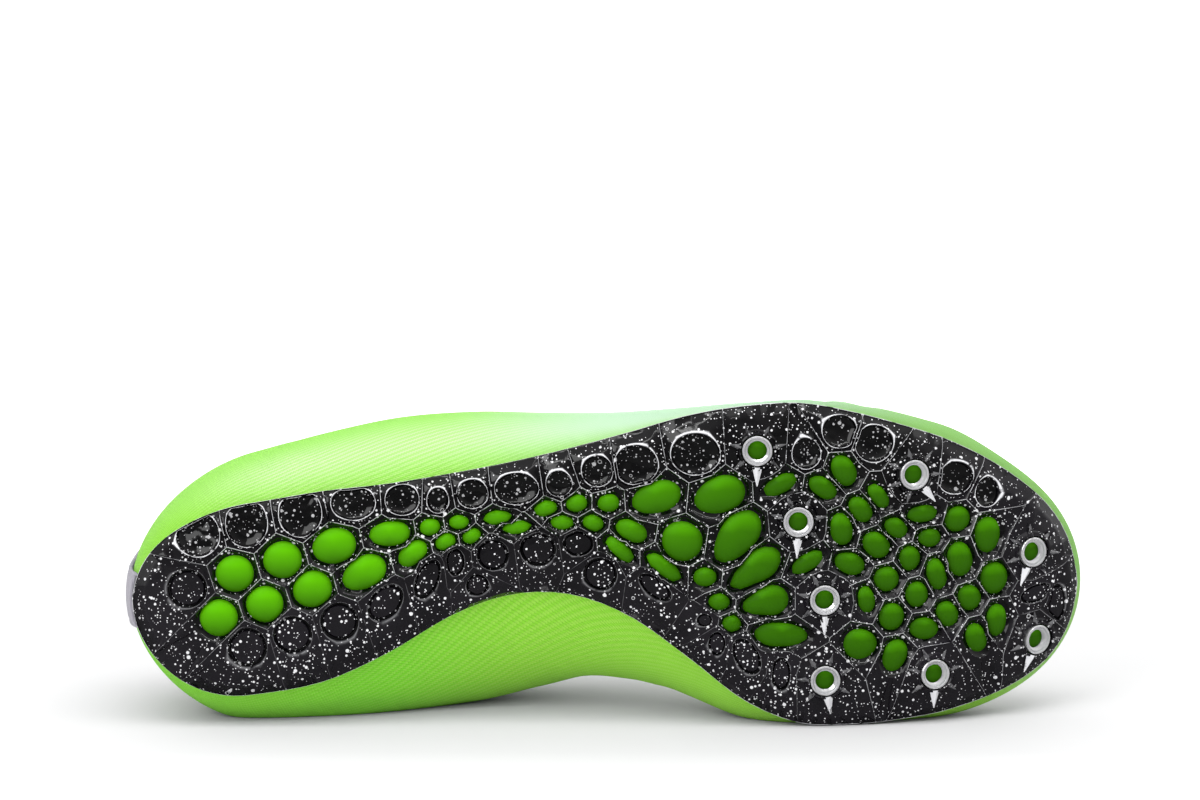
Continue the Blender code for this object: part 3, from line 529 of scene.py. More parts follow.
def widest_point(along, side):
    lateral = ball_width * widest_lateral(along)
    medial = ball_width * widest_medial(along)
    middle, half = (lateral + medial) / 2, (lateral - medial) / 2
    breadth = math.sqrt(max(0.0, 1 - into_end(along) ** 2))
    centre_share = 0.5 + 0.5 * side * breadth
    rise = widest_lateral_rise(along) * centre_share
    rise += widest_medial_rise(along) * (1 - centre_share)
    x = -heel_bulge + (shoe_length + heel_bulge + toe_bulge) * along
    ground = toe_spring * max(0.0, (along - spring_start) / (1 - spring_start)) ** 2
    return Vector((x, middle + side * half * breadth, ground + instep_height * rise))


def top_point(along, side):
    height = instep_height * top_height(min(along, throat_front))
    if along <= throat_front:
        lateral, medial = ball_width * top_lateral(along), ball_width * top_medial(along)
        breadth = math.sqrt(max(0.0, 1 - into_end(along) ** 2))
        w = (lateral + medial) / 2 + side * (lateral - medial) / 2 * breadth
        return Vector((shoe_length * along, w, height))
    x, w = sole_edge(along, side, upper_inset)
    centre = Vector((shoe_length * throat_front, throat_middle))
    towards = (Vector((x, w)) - centre).normalized()
    if along < 1 and towards.y * side < 0:
        towards.y = 0.0
    place = centre + throat_half_gap * towards
    return Vector((place.x, place.y, height))


def upper_point(along, side, climb):
    """The upper's outer face; climb is 0 at the sole, 1 at the widest line and 2 at the top."""
    widest = widest_point(along, side)
    if climb <= 1:
        start, arc = foot_of_upper(along, side), lower_arc
        angle = arc * (1 - climb)
    else:
        start, arc = top_point(along, side), crown_arc
        angle = arc * (climb - 1)
    inward = (1 - math.cos(angle)) / (1 - math.cos(arc))
    upward = math.sin(angle) / math.sin(arc)
    x = widest.x + (start.x - widest.x) * inward
    w = widest.y + (start.y - widest.y) * inward
    h = widest.z + (start.z - widest.z) * upward
    return onto_floor(Vector((x, w, h)))


def upper_normal(along, side, climb):
    """Outward direction of the upper at a place on its outer face."""
    step, climb = 0.01, min(climb, 1.99)
    along = min(max(along, 0.02), 0.98)
    ahead = upper_point(along + step, side, climb) - upper_point(along - step, side, climb)
    above = upper_point(along, side, climb + step) - upper_point(along, side, climb - step)
    return (above.cross(ahead) * side).normalized()


def climb_at(along, distance, side=1):
    """The climb that lies a given distance below the top edge."""
    climb, walked = 2.0, 0.0
    while walked < distance and climb > 1.1:
        here = upper_point(along, side, climb)
        climb -= 0.02
        walked += (upper_point(along, side, climb) - here).length
    return climb


# Meshes

def mapped_grid(bm, columns, rows, place):
    """A grid of faces whose points go where place(u, v) says, with u and v from 0 to 1."""
    made = bmesh.ops.create_grid(bm, x_segments=columns, y_segments=rows, size=0.5)["verts"]
    for vert in made:
        u, v = clamped(vert.co.x + 0.5), clamped(vert.co.y + 0.5)
        vert.co = place(u, v)
    return made


merge_distance = 0.00001


def closed_up(bm, distance=merge_distance):
    """Merges a seam, and points the faces of a closed shape outwards."""
    bmesh.ops.remove_doubles(bm, verts=bm.verts, dist=distance)
    bmesh.ops.recalc_face_normals(bm, faces=bm.faces)


def joined(bm, part):
    """Adds the second mesh to the first, and frees the second."""
    mesh = bpy.data.meshes.new("part")
    part.to_mesh(mesh)
    part.free()
    bm.from_mesh(mesh)
    bpy.data.meshes.remove(mesh)


def full_spin(bm, corners, steps):
    """Spins a closed line of corners once round the Z axis; returns its first points."""
    verts = [bm.verts.new(corner) for corner in corners]
    edges = [bm.edges.new((a, b)) for a, b in zip(verts, verts[1:] + verts[:1])]
    bmesh.ops.spin(bm, geom=verts + edges, cent=(0, 0, 0), axis=(0, 0, 1), dvec=(0, 0, 0),
                   angle=2 * math.pi, steps=steps, use_merge=True, use_duplicate=False)
    return verts


def standing(place, upwards):
    """A matrix that stands a spun form at a place, with its axis along a direction."""
    return Matrix.Translation(place) @ upwards.to_track_quat("Z", "X").to_matrix().to_4x4()


def face_towards(bm, way):
    """Turns an open sheet so that its faces, taken together, look a given way."""
    bmesh.ops.recalc_face_normals(bm, faces=bm.faces)
    if sum(face.normal.dot(way) for face in bm.faces) < 0:
        bmesh.ops.reverse_faces(bm, faces=bm.faces)


def turn_outwards(bm):
    if bm.calc_volume(signed=True) < 0:
        bmesh.ops.reverse_faces(bm, faces=bm.faces)


def laid(bm):
    """Turns a mesh from shoe coordinates to the way that the shoe lies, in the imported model."""
    for vert in bm.verts:
        vert.co = Vector((vert.co.x, vert.co.z, vert.co.y)) + shoe_origin
    bmesh.ops.reverse_faces(bm, faces=bm.faces)
    return bm


def finished(name, bm, materials, replaces=(), sharp=40.0):
    """An object from a mesh that is already in its place, riding on the shoe."""
    mesh = bpy.data.meshes.new(name)
    bm.to_mesh(mesh)
    bm.free()
    for material in materials:
        mesh.materials.append(material)
    mesh.shade_smooth()
    mesh.set_sharp_from_angle(angle=math.radians(sharp))
    piece = bpy.data.objects.new(name, mesh)
    bpy.context.scene.collection.objects.link(piece)
    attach(piece, "root")
    if replaces:
        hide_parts(*replaces)
    return piece


def walled(piece, thickness, offset):
    """Gives a sheet its thickness, outwards with an offset of 1 and inwards with -1."""
    wall = piece.modifiers.new("Wall", "SOLIDIFY")
    wall.thickness = thickness
    wall.offset = offset
    return wall


def sweep(bm, centres, sideways, upwards, half_width, half_thickness, sides=12, boxy=1.0):
    """A closed band or tube along a line of centres, flat across its sideways directions."""
    count = len(centres)
    rings = [0] + list(range(count)) + [count - 1]

    def place(u, v):
        ring = round(v * (len(rings) - 1))
        k = rings[ring]
        angle = 2 * math.pi * u
        across, up = math.cos(angle), math.sin(angle)
        across = math.copysign(abs(across) ** boxy, across)
        up = math.copysign(abs(up) ** boxy, up)
        if ring in (0, len(rings) - 1):
            across, up = 0.0, 0.0
        return centres[k] + sideways[k] * (half_width * across) + upwards[k] * (half_thickness * up)

    part = bmesh.new()
    mapped_grid(part, sides, len(rings) - 1, place)
    closed_up(part, 0.000004)
    turn_outwards(part)
    joined(bm, part)


def smooth_route(points, steps):
    """A rounded line through a few points."""
    route = []
    for k in range(len(points) - 1):
        before, start = points[max(k - 1, 0)], points[k]
        end, after = points[k + 1], points[min(k + 2, len(points) - 1)]
        for step in range(steps):
            t = step / steps
            route.append(0.5 * (2 * start + (end - before) * t
                                + (2 * before - 5 * start + 4 * end - after) * t**2
                                + (3 * start - before - 3 * end + after) * t**3))
    route.append(points[-1].copy())
    return route


# Materials

def node(tree, kind, inputs=(), **settings):
    """Adds a shader node, with its settings and its inputs' values or links."""
    made = tree.nodes.new(kind)
    for key, value in settings.items():
        setattr(made, key, value)
    for socket, value in dict(inputs).items():
        if isinstance(value, bpy.types.NodeSocket):
            tree.links.new(value, made.inputs[socket])
        else:
            made.inputs[socket].default_value = value
    return made


def sums(tree, operation, *values, clamp=False):
    """One Math node; returns its output."""
    made = node(tree, "ShaderNodeMath", dict(enumerate(values)), operation=operation)
    made.use_clamp = clamp
    return made.outputs[0]


def plus(tree, first, second, clamp=False):
    return sums(tree, "ADD", first, second, clamp=clamp)


def minus(tree, first, second):
    return sums(tree, "SUBTRACT", first, second)


def times(tree, first, second, clamp=False):
    return sums(tree, "MULTIPLY", first, second, clamp=clamp)


def noise(tree, place, scale, detail):
    """Noise at a place, in lumps per metre; returns its value."""
    made = node(tree, "ShaderNodeTexNoise", {"Vector": place, "Scale": scale, "Detail": detail})
    return made.outputs["Fac"]


def painted(tree, name):
    """A mask that the piece carries on its own points."""
    return node(tree, "ShaderNodeAttribute", attribute_name=name).outputs["Fac"]


def axes(tree, vector):
    """The three parts of a vector."""
    return node(tree, "ShaderNodeSeparateXYZ", {0: vector}).outputs


def shaded(tint, share):
    """A tint made darker, or brighter as far as white allows."""
    return [min(1.0, value * share) for value in tint]


def blended(tree, factor, first, second):
    """Mixes two colours; returns the output."""
    made = tree.nodes.new("ShaderNodeMix")
    made.data_type = "RGBA"
    for index, value in ((0, factor), (6, first), (7, second)):
        if isinstance(value, bpy.types.NodeSocket):
            tree.links.new(value, made.inputs[index])
        elif index == 0:
            made.inputs[index].default_value = value
        else:
            made.inputs[index].default_value = (*value, 1.0)
    return made.outputs[2]


def ranged(tree, value, low, high, start=0.0, end=1.0):
    """Maps a value from one range to another, clamped; returns the output."""
    made = node(tree, "ShaderNodeMapRange", {0: value, 1: low, 2: high, 3: start, 4: end})
    return made.outputs[0]


def object_place(tree):
    return tree.nodes.new("ShaderNodeTexCoord").outputs["Object"]


def new_group(name, inputs, outputs):
    """A node group with named sockets, once for the whole file."""
    group = bpy.data.node_groups.new(name, "ShaderNodeTree")
    for label, kind, value in inputs:
        socket = group.interface.new_socket(name=label, in_out="INPUT", socket_type=kind)
        if value is not None:
            socket.default_value = value
    for label, kind in outputs:
        group.interface.new_socket(name=label, in_out="OUTPUT", socket_type=kind)
    return group, group.nodes.new("NodeGroupInput").outputs, group.nodes.new("NodeGroupOutput").inputs


def grouped(tree, name, inputs):
    made = tree.nodes.new("ShaderNodeGroup")
    made.node_tree = bpy.data.node_groups.get(name) or GROUPS[name]()
    for socket, value in inputs.items():
        if isinstance(value, bpy.types.NodeSocket):
            tree.links.new(value, made.inputs[socket])
        else:
            made.inputs[socket].default_value = value
    return made.outputs


def patchy(tree, place, size, contrast):
    """Slow changes over the surface, as a mask."""
    return grouped(tree, "soft_patches", {"Vector": place, "Size": size, "Contrast": contrast})[0]


def paint_speckle():
    """Round dots of many sizes, where balls of paint scattered in space cut the surface."""
    group, given, out = new_group(
        "paint_speckle",
        [("Vector", "NodeSocketVector", None), ("Cell Size", "NodeSocketFloat", 0.0015),
         ("Radius", "NodeSocketFloat", 0.25), ("Chance", "NodeSocketFloat", 0.7)],
        [("Mask", "NodeSocketFloat"), ("Ring", "NodeSocketFloat")])
    scale = sums(group, "DIVIDE", 1.0, given["Cell Size"])
    cells = node(group, "ShaderNodeTexVoronoi", {"Vector": given["Vector"], "Scale": scale})
    random = node(group, "ShaderNodeSeparateColor", {0: cells.outputs["Color"]}).outputs
    size = ranged(group, random[0], 0.0, 1.0, 0.30, 1.0)
    radius = times(group, given["Radius"], size)
    inner = times(group, radius, 0.80)
    dot = ranged(group, cells.outputs["Distance"], inner, radius, 1.0, 0.0)
    there = sums(group, "LESS_THAN", random[1], given["Chance"])
    group.links.new(times(group, dot, there), out["Mask"])
    hollow = ranged(group, cells.outputs["Distance"], times(group, radius, 0.62),
                    times(group, radius, 0.74), 0.0, 1.0)
    ring = times(group, times(group, dot, there), hollow)
    group.links.new(ring, out["Ring"])
    return group


def fine_knit():
    """Diagonal rows of small stitches, on a piece's own map in metres."""
    group, given, out = new_group(
        "fine_knit",
        [("Vector", "NodeSocketVector", None), ("Pitch", "NodeSocketFloat", 0.001),
         ("Turn", "NodeSocketFloat", 0.5), ("Stretch", "NodeSocketFloat", 1.6)],
        [("Height", "NodeSocketFloat"), ("Thread", "NodeSocketFloat")])
    wander = noise(group, given["Vector"], 90.0, 1.0)
    shift = times(group, minus(group, wander, 0.5), 0.0012)
    split = axes(group, given["Vector"])
    along, up = plus(group, split[0], shift), split[1]
    cos, sin = sums(group, "COSINE", given["Turn"]), sums(group, "SINE", given["Turn"])
    first = plus(group, times(group, along, cos), times(group, up, sin))
    second = minus(group, times(group, up, cos), times(group, along, sin))
    row = sums(group, "DIVIDE", second, given["Pitch"])
    stitch = sums(group, "DIVIDE", first, times(group, given["Pitch"], given["Stretch"]))
    half = times(group, sums(group, "FLOOR", row), 0.5)
    turns = 2 * math.pi
    ridge = sums(group, "ABSOLUTE", sums(group, "SINE", times(group, row, math.pi)))
    bead = sums(group, "COSINE", times(group, plus(group, stitch, half), turns))
    bead = ranged(group, bead, -1.0, 1.0, 0.45, 1.0)
    group.links.new(times(group, ridge, bead), out["Height"])
    steps = plus(group, sums(group, "FLOOR", row), sums(group, "FLOOR", plus(group, stitch, half)))
    parity = sums(group, "PINGPONG", steps, 1.0)
    group.links.new(parity, out["Thread"])
    return group


def soft_patches():
    """Slow changes over the surface, as from handling and uneven dye."""
    group, given, out = new_group(
        "soft_patches",
        [("Vector", "NodeSocketVector", None), ("Size", "NodeSocketFloat", 0.03),
         ("Contrast", "NodeSocketFloat", 0.3)],
        [("Mask", "NodeSocketFloat")])
    scale = sums(group, "DIVIDE", 1.0, given["Size"])
    cloud = noise(group, given["Vector"], scale, 3.0)
    low = minus(group, 0.5, times(group, given["Contrast"], 0.5))
    high = plus(group, 0.5, times(group, given["Contrast"], 0.5))
    group.links.new(ranged(group, cloud, low, high), out["Mask"])
    return group


# Shares of a colour: deeper domes towards the toe, painted shade and painted highlight on the domes, dulled
# metal, painted shade in the knit's hollows, the knit's grey for bounced light, and the floor as it is seen
dome_deep, dome_shade, dome_highlight = 0.28, 0.22, 1.35
metal_dulled = 0.82
knit_hollow_shade = 0.42
bounce_grey, bounce_greyed = (0.42, 0.42, 0.42), 0.92
floor_seen, floor_seen_low, floor_mirrored = 0.87, 0.865, 0.16

# Where the plate turns from black to charcoal: heights on the medial side, places at the toe
charcoal_height = (0.062, 0.036)
charcoal_toe = (0.085, 0.115)

# Paint speckle of the plate, small to large, and its rings
Speckle = namedtuple("Speckle", "size radius chance")
SPECKLES = [Speckle(0.0009, 0.27, 0.72), Speckle(0.0015, 0.30, 0.62), Speckle(0.0031, 0.22, 0.60)]
SPECKLE_RING = Speckle(0.0052, 0.16, 0.5)

# Grain of the surfaces, in lumps per metre
# crest_breaks: how finely the painted highlight on the crests is broken up
crest_breaks = 420.0
plate_scuff = 900.0
plate_flow = 170.0
flow_share = 14.0
dome_grain = 5200.0
lathe_lines = 4000.0
knit_turn, knit_stretch = -0.50, 1.7

GROUPS = {"paint_speckle": paint_speckle, "fine_knit": fine_knit, "soft_patches": soft_patches}


def new_material(name, roughness, **constants):
    """A material, its tree and its shader, with the shader's constant values."""
    material = bpy.data.materials.new(name)
    material.use_nodes = True
    tree = material.node_tree
    shader = tree.nodes["Principled BSDF"]
    shader.inputs["Roughness"].default_value = roughness
    for key, value in constants.items():
        shader.inputs[key.replace("_", " ")].default_value = value
    return material, tree, shader


def bump(tree, shader, height, distance, strength=1.0):
    made = node(tree, "ShaderNodeBump", {"Height": height, "Distance": distance, "Strength": strength})
    tree.links.new(made.outputs[0], shader.inputs["Normal"])


def speckled(tree, place, layer):
    return grouped(tree, "paint_speckle", {
        "Vector": place, "Cell Size": layer.size, "Radius": layer.radius, "Chance": layer.chance})


def plate_material(colours):
    """Glossy black with charcoal patches, white paint speckle of many sizes, painted highlights on the
    crests, rims and fins, and painted shade in the hollows.
    """
    material, tree, shader = new_material("speckled_plate", 0.12, Specular_IOR_Level=0.40)
    place = object_place(tree)
    hollow = painted(tree, "hollow")
    patches = patchy(tree, place, 0.020, 0.30)
    split = axes(tree, place)
    medial, toe = ranged(tree, split[2], *charcoal_height), ranged(tree, split[0], *charcoal_toe)
    zone = sums(tree, "MAXIMUM", medial, toe)
    zone = times(tree, zone, ranged(tree, patches, 0.0, 1.0, 0.55, 1.0))
    zone = sums(tree, "MAXIMUM", zone, times(tree, patches, 0.25))
    # Painted shade: no charcoal in the funnels and pocket bowls, so they stay deepest black
    patches = times(tree, zone, minus(tree, 1.0, hollow))
    base = blended(tree, patches, colours.plate_black, colours.plate_charcoal)
    # Painted highlight: the shine mask turns crests, rims and fins towards a bright colour, broken up by
    # noise
    shine = painted(tree, "shine")
    breaks = noise(tree, place, crest_breaks, 2.0)
    crest_highlight_mask = times(tree, sums(tree, "POWER", shine, 2.8), ranged(tree, breaks, 0.33, 0.50), clamp=True)
    base = blended(tree, crest_highlight_mask, base, colours.crest_highlight)
    masks = [speckled(tree, place, layer)["Mask"] for layer in SPECKLES]
    ring = speckled(tree, place, SPECKLE_RING)["Ring"]
    paint = sums(tree, "MAXIMUM", sums(tree, "MAXIMUM", masks[0], masks[1]),
                 sums(tree, "MAXIMUM", masks[2], ring))
    # Painted shade: the speckle is dimmed in the funnels and pocket bowls
    paint = times(tree, paint, ranged(tree, hollow, 0.0, 1.0, 1.0, 0.55))
    tree.links.new(blended(tree, paint, base, colours.speckle), shader.inputs["Base Color"])
    scuff = noise(tree, place, plate_scuff, 3.0)
    rough = plus(tree, ranged(tree, patches, 0.0, 1.0, 0.07, 0.20), times(tree, paint, 0.2))
    tree.links.new(rough, shader.inputs["Roughness"])
    flow = noise(tree, place, plate_flow, 1.0)
    height = plus(tree, times(tree, paint, 0.4), times(tree, scuff, 0.3))
    height = plus(tree, height, times(tree, flow, flow_share))
    bump(tree, shader, height, 0.00010, 0.5)
    return material


def dome_material(colours):
    """Satin green rubber, paler at the heel, with painted shade on the steep sides, on the lower side and
    on the board round each dome, and a painted highlight on the upper side.
    """
    material, tree, shader = new_material("green_board", 0.50, Specular_IOR_Level=0.06)
    place = object_place(tree)
    forward = axes(tree, place)[0]
    patches = patchy(tree, place, 0.05, 0.5)
    deep = shaded(colours.dome_green, dome_deep)
    dark = shaded(colours.dome_green, dome_shade)
    green = blended(tree, ranged(tree, forward, -0.06, 0.05), colours.dome_green, deep)
    green = blended(tree, times(tree, patches, 0.25), green, deep)
    top = painted(tree, "dome_top")
    lit = painted(tree, "dome_lit")
    # Painted highlight on the upper side of each dome and painted shade on its lower side, from the
    # dome_lit mask
    bright = shaded(colours.dome_green, dome_highlight)
    green = blended(tree, ranged(tree, lit, 0.62, 0.98, 0.0, 0.35), green, bright)
    green = blended(tree, ranged(tree, lit, 0.02, 0.78, 0.88, 0.0), green, dark)
    # Painted shade on the steep sides of each dome and on the board round it
    green = blended(tree, ranged(tree, top, 0.05, 0.50, 0.9, 0.0), green, dark)
    tree.links.new(green, shader.inputs["Base Color"])
    grain = noise(tree, place, dome_grain, 1.0)
    tree.links.new(ranged(tree, grain, 0.3, 0.7, 0.36, 0.50), shader.inputs["Roughness"])
    bump(tree, shader, grain, 0.00002, 0.5)
    return material


def metal_material(colours):
    """Turned bright metal with fine lathe lines and a little dullness."""
    material, tree, shader = new_material("turned_metal", 0.2, Metallic=0.60)
    place = object_place(tree)
    dull = patchy(tree, place, 0.008, 0.6)
    tree.links.new(ranged(tree, dull, 0.0, 1.0, 0.12, 0.20), shader.inputs["Roughness"])
    dulled = shaded(colours.metal, metal_dulled)
    tree.links.new(blended(tree, dull, colours.metal, dulled), shader.inputs["Base Color"])
    lines = noise(tree, place, lathe_lines, 2.0)
    bump(tree, shader, lines, 0.000003, 0.3)
    return material


def knit_material(colours, pitch):
    """Fine two-thread knit with painted shade in its hollows; the piece's own masks say where it is mint
    and where it is cream.
    """
    material, tree, shader = new_material(
        "green_knit", 0.60, Specular_IOR_Level=0.12, Sheen_Weight=0.04, Sheen_Roughness=0.4)
    map_place = node(tree, "ShaderNodeUVMap", uv_map="knit_map").outputs[0]
    knit = grouped(tree, "fine_knit", {
        "Vector": map_place, "Pitch": pitch, "Turn": knit_turn, "Stretch": knit_stretch})
    mint = painted(tree, "mint")
    cream = painted(tree, "cream")
    patches = patchy(tree, object_place(tree), 0.05, 0.5)
    yellow = painted(tree, "yellow")
    thread = plus(tree, yellow, ranged(tree, knit["Thread"], 0.0, 1.0, -0.10, 0.16), clamp=True)
    green = blended(tree, thread, colours.knit_green, colours.knit_yellow)
    green = blended(tree, times(tree, patches, 0.15), green, colours.knit_yellow)
    pale_thread = times(tree, cream, ranged(tree, knit["Thread"], 0.0, 1.0, 0.55, 1.0))
    colour_now = blended(tree, pale_thread, green, colours.knit_cream)
    colour_now = blended(tree, mint, colour_now, colours.knit_mint)
    # Painted shade in the low parts of the knit
    dark = shaded(colours.knit_green, knit_hollow_shade)
    hollow = ranged(tree, knit["Height"], 0.0, 0.45, 0.30, 0.0)
    colour_now = blended(tree, hollow, colour_now, dark)
    bounced = tree.nodes.new("ShaderNodeLightPath").outputs["Is Diffuse Ray"]
    plain = blended(tree, bounce_greyed, colours.knit_green, bounce_grey)
    tree.links.new(blended(tree, bounced, colour_now, plain), shader.inputs["Base Color"])
    tree.links.new(ranged(tree, knit["Height"], 0.0, 1.0, 0.72, 0.48), shader.inputs["Roughness"])
    bump(tree, shader, knit["Height"], 0.00022, 0.8)
    return material


def woven_material(name, tint, pitch, roughness=0.75, turn=0.0, map_name=None):
    """Plain woven tape or lining, with painted shade in the weave's low parts."""
    material, tree, shader = new_material(name, roughness, Sheen_Weight=0.2, Sheen_Roughness=0.5)
    place = object_place(tree)
    vector = node(tree, "ShaderNodeUVMap", uv_map=map_name).outputs[0] if map_name else place
    knit = grouped(tree, "fine_knit", {"Vector": vector, "Pitch": pitch, "Turn": turn, "Stretch": 1.2})
    patches = patchy(tree, place, 0.02, 0.5)
    dark, light = shaded(tint, 0.55), shaded(tint, 1.18)
    face = blended(tree, times(tree, patches, 0.5), tint, light)
    # Painted shade in the low parts of the weave
    tree.links.new(blended(tree, ranged(tree, knit["Height"], 0.0, 0.6, 0.8, 0.0), face, dark),
                   shader.inputs["Base Color"])
    tree.links.new(ranged(tree, knit["Height"], 0.0, 1.0, 0.9, roughness), shader.inputs["Roughness"])
    bump(tree, shader, knit["Height"], pitch * 0.3, 0.8)
    return material


# Outsole

Site = namedtuple("Site", "x w radius owner")
Tile = namedtuple("Tile", "kind x w long wide turn taper")


def plan_tiles():
    """Every cell, pocket and socket of the plate, in metres."""
    tiles = []
    for kind, cells in (("open", OPEN_CELLS), ("blind", BLIND_POCKETS), ("ringed", RINGED_POCKETS)):
        for k, cell in enumerate(cells):
            taper = CELL_TAPERS.get(k, 0.05) if kind == "open" else 0.0
            tiles.append(Tile(
                kind, shoe_length * cell.along, ball_width * cell.across, shoe_length * cell.long / 2,
                shoe_length * cell.wide / 2, math.radians(cell.turn), taper))
    rim = socket_radius + gap
    for socket in SPIKE_SOCKETS:
        x, w = shoe_length * socket.along, ball_width * socket.across
        tiles.append(Tile("socket", x, w, rim, rim, 0.0, 0.0))
    return tiles


def oval_radius(tile, angle):
    """Distance from a tile's middle to its own oval in a direction."""
    local = angle - tile.turn
    wide = tile.wide * (1 + tile.taper * math.cos(local))
    return tile.long * wide / math.hypot(wide * math.cos(local), tile.long * math.sin(local))


def plan_sites(tiles):
    """Round seeds for the tiles: a long one takes several in a row."""
    sites = []
    socket_margin, cell_margin = 0.0030, 0.0006
    for owner, tile in enumerate(tiles):
        ratio = tile.long / tile.wide
        count = 1 if ratio < 1.25 else 2 if ratio < 2.2 else 3
        margin = socket_margin if tile.kind == "socket" else cell_margin
        for k in range(count):
            shift = 0.0 if count == 1 else (tile.long - tile.wide) * (2 * k / (count - 1) - 1)
            x = tile.x + shift * math.cos(tile.turn)
            w = tile.w + shift * math.sin(tile.turn)
            sites.append(Site(x, w, tile.wide + margin, owner))
    return sites


def outline_polygon(count):
    return [sole_edge(*place_round(k / count), 0.0) for k in range(count)]


def cut_tile(outline, site, sites):
    """The part of the outline that is nearest to one seed, cut out with planes."""
    bm = bmesh.new()
    bm.faces.new([bm.verts.new((x, w, 0.0)) for x, w in outline])
    here = Vector((site.x, site.w, 0.0))
    reach = 0.035
    for way in (Vector((-1.0, 0.0, 0.0)), Vector((1.0, 0.0, 0.0))):
        bmesh.ops.bisect_plane(
            bm, geom=bm.verts[:] + bm.edges[:] + bm.faces[:], dist=1e-7, clear_outer=True,
            plane_co=here + way * reach, plane_no=way)
    others = sorted((s for s in sites if s is not site),
                    key=lambda s: math.hypot(s.x - site.x, s.w - site.w))
    for other in others:
        apart = Vector((other.x, other.w, 0.0)) - here
        farthest = max(((vert.co - here).length for vert in bm.verts), default=0.0)
        if apart.length > 2 * farthest + site.radius + other.radius:
            break
        share = 0.5 + (site.radius**2 - other.radius**2) / (2 * apart.length_squared)
        bmesh.ops.bisect_plane(
            bm, geom=bm.verts[:] + bm.edges[:] + bm.faces[:], dist=1e-7, clear_outer=True,
            plane_co=here + apart * share, plane_no=apart)
    rings = [[vert.co.copy() for vert in face.verts] for face in bm.faces]
    bm.free()
    return rings


def tiled_plan(tiles, step):
    """The flat plan of the plate, one face to a tile, with points close together on its edges."""
    sites = plan_sites(tiles)
    outline = outline_polygon(150)
    bm = bmesh.new()
    owner = bm.faces.layers.int.new("owner")
    for site in sites:
        for ring in cut_tile(outline, site, sites):
            face = bm.faces.new([bm.verts.new(place) for place in ring])
            face[owner] = site.owner
    bmesh.ops.remove_doubles(bm, verts=bm.verts, dist=0.00012)
    inner = [edge for edge in bm.edges if len(edge.link_faces) == 2
             and edge.link_faces[0][owner] == edge.link_faces[1][owner]]
    bmesh.ops.dissolve_edges(bm, edges=inner, use_verts=False)
    by_cuts = {}
    for edge in bm.edges:
        cuts = int(edge.calc_length() / step)
        if cuts:
            by_cuts.setdefault(cuts, []).append(edge)
    for cuts, edges in sorted(by_cuts.items()):
        bmesh.ops.bisect_edges(bm, edges=edges, cuts=cuts)
    return bm, owner


# A ring of points inside a tile: nearness to the tile's oval, least distance in from the tile's edge,
# depth into the plate, share of the oval, and its points' painted highlight (shine) and painted shade
# (hollow)
Ring = namedtuple("Ring", "nearness inwards rise shrink shine hollow", defaults=(1.0, 0.0, 0.0))


def tile_levels(tile, sizes):
    """The rings of a tile, from its edge inwards."""
    # The shine values paint highlights on crests and pocket rims; the hollow values paint shade into
    # funnels and bowls
    ridge, web = sizes.ridge_width, sizes.web_drop
    if tile.kind == "open":
        deep = sizes.funnel_depth
        return [Ring(0.0, ridge, web * 0.34), Ring(0.0, 2.4 * ridge, web * 0.85),
                Ring(0.40, 0.0, web * 1.1, 1.0, 0.0, 0.3), Ring(0.50, 0.0, web * 1.5, 1.0, 0.0, 1.0),
                Ring(0.80, 0.0, deep * 0.96, 1.0, 0.0, 1.0), Ring(1.0, 0.0, deep, 1.0, 0.0, 1.0),
                Ring(1.0, 0.0, plate_thickness, hole_taper, 0.0, 1.0)]
    if tile.kind == "blind":
        deep = sizes.pocket_depth
        return [Ring(0.0, ridge, web * 0.34), Ring(0.0, 2.4 * ridge, web * 0.9), Ring(0.55, 0.0, web * 0.9),
                Ring(0.80, 0.0, web * 0.35), Ring(0.92, 0.0, web * 0.10, 1.0, 1.5),
                Ring(1.0, 0.0, web * 0.6, 1.0, 0.0, 0.6), Ring(1.0, 0.0, deep * 0.62, 0.93, 0.0, 1.0),
                Ring(1.0, 0.0, deep * 0.82, 0.80, 0.0, 1.0), Ring(1.0, 0.0, deep * 0.95, 0.58, 0.0, 1.0),
                Ring(1.0, 0.0, deep, 0.28, 0.0, 1.0)]
    if tile.kind == "ringed":
        return [Ring(0.0, ridge, web * 0.52), Ring(0.5, 0.0, web * 0.55), Ring(0.84, 0.0, web * 0.36),
                Ring(0.95, 0.0, web * 0.5, 1.0, 0.6), Ring(1.0, 0.0, web * 1.9, 0.965, 0.0, 1.0),
                Ring(1.0, 0.0, web * 1.8, 0.90, 0.0, 1.0), Ring(1.0, 0.0, web * 0.75, 0.80),
                Ring(1.0, 0.0, web * 0.62, 0.5), Ring(1.0, 0.0, web * 0.58, 0.2)]
    return [Ring(0.0, ridge, web * 0.6), Ring(0.40, 0.0, web * 0.9), Ring(1.0, 0.0, web * 0.8, 1.34),
            Ring(1.0, 0.0, web * 0.1, 1.22), Ring(1.0, 0.0, -0.0007, 1.15), Ring(1.0, 0.0, -0.0008, 1.06),
            Ring(1.0, 0.0, -0.0005, 1.0), Ring(1.0, 0.0, plate_thickness, 1.0)]


rim_start = 0.90  # share of the sole's half width where its rim starts to roll back
rim_roll = 0.0011
least_web = 0.0009  # between a tile's edge and its oval
funnel_reach = 0.0036  # how far round its oval a cell's funnel starts, at most
hole_taper = 0.985  # size of a cell's hole at the board, as a share of its oval
dome_fullness, socket_dome_fullness = 0.89, 0.55  # of the oval over each dome
socket_dome_height = 0.0008

# How far below the ridges a tile's own edge lies, as a share of the web's drop
EDGE_RISE = {"open": 0.0, "blind": 0.0, "ringed": 0.50, "socket": 0.20}


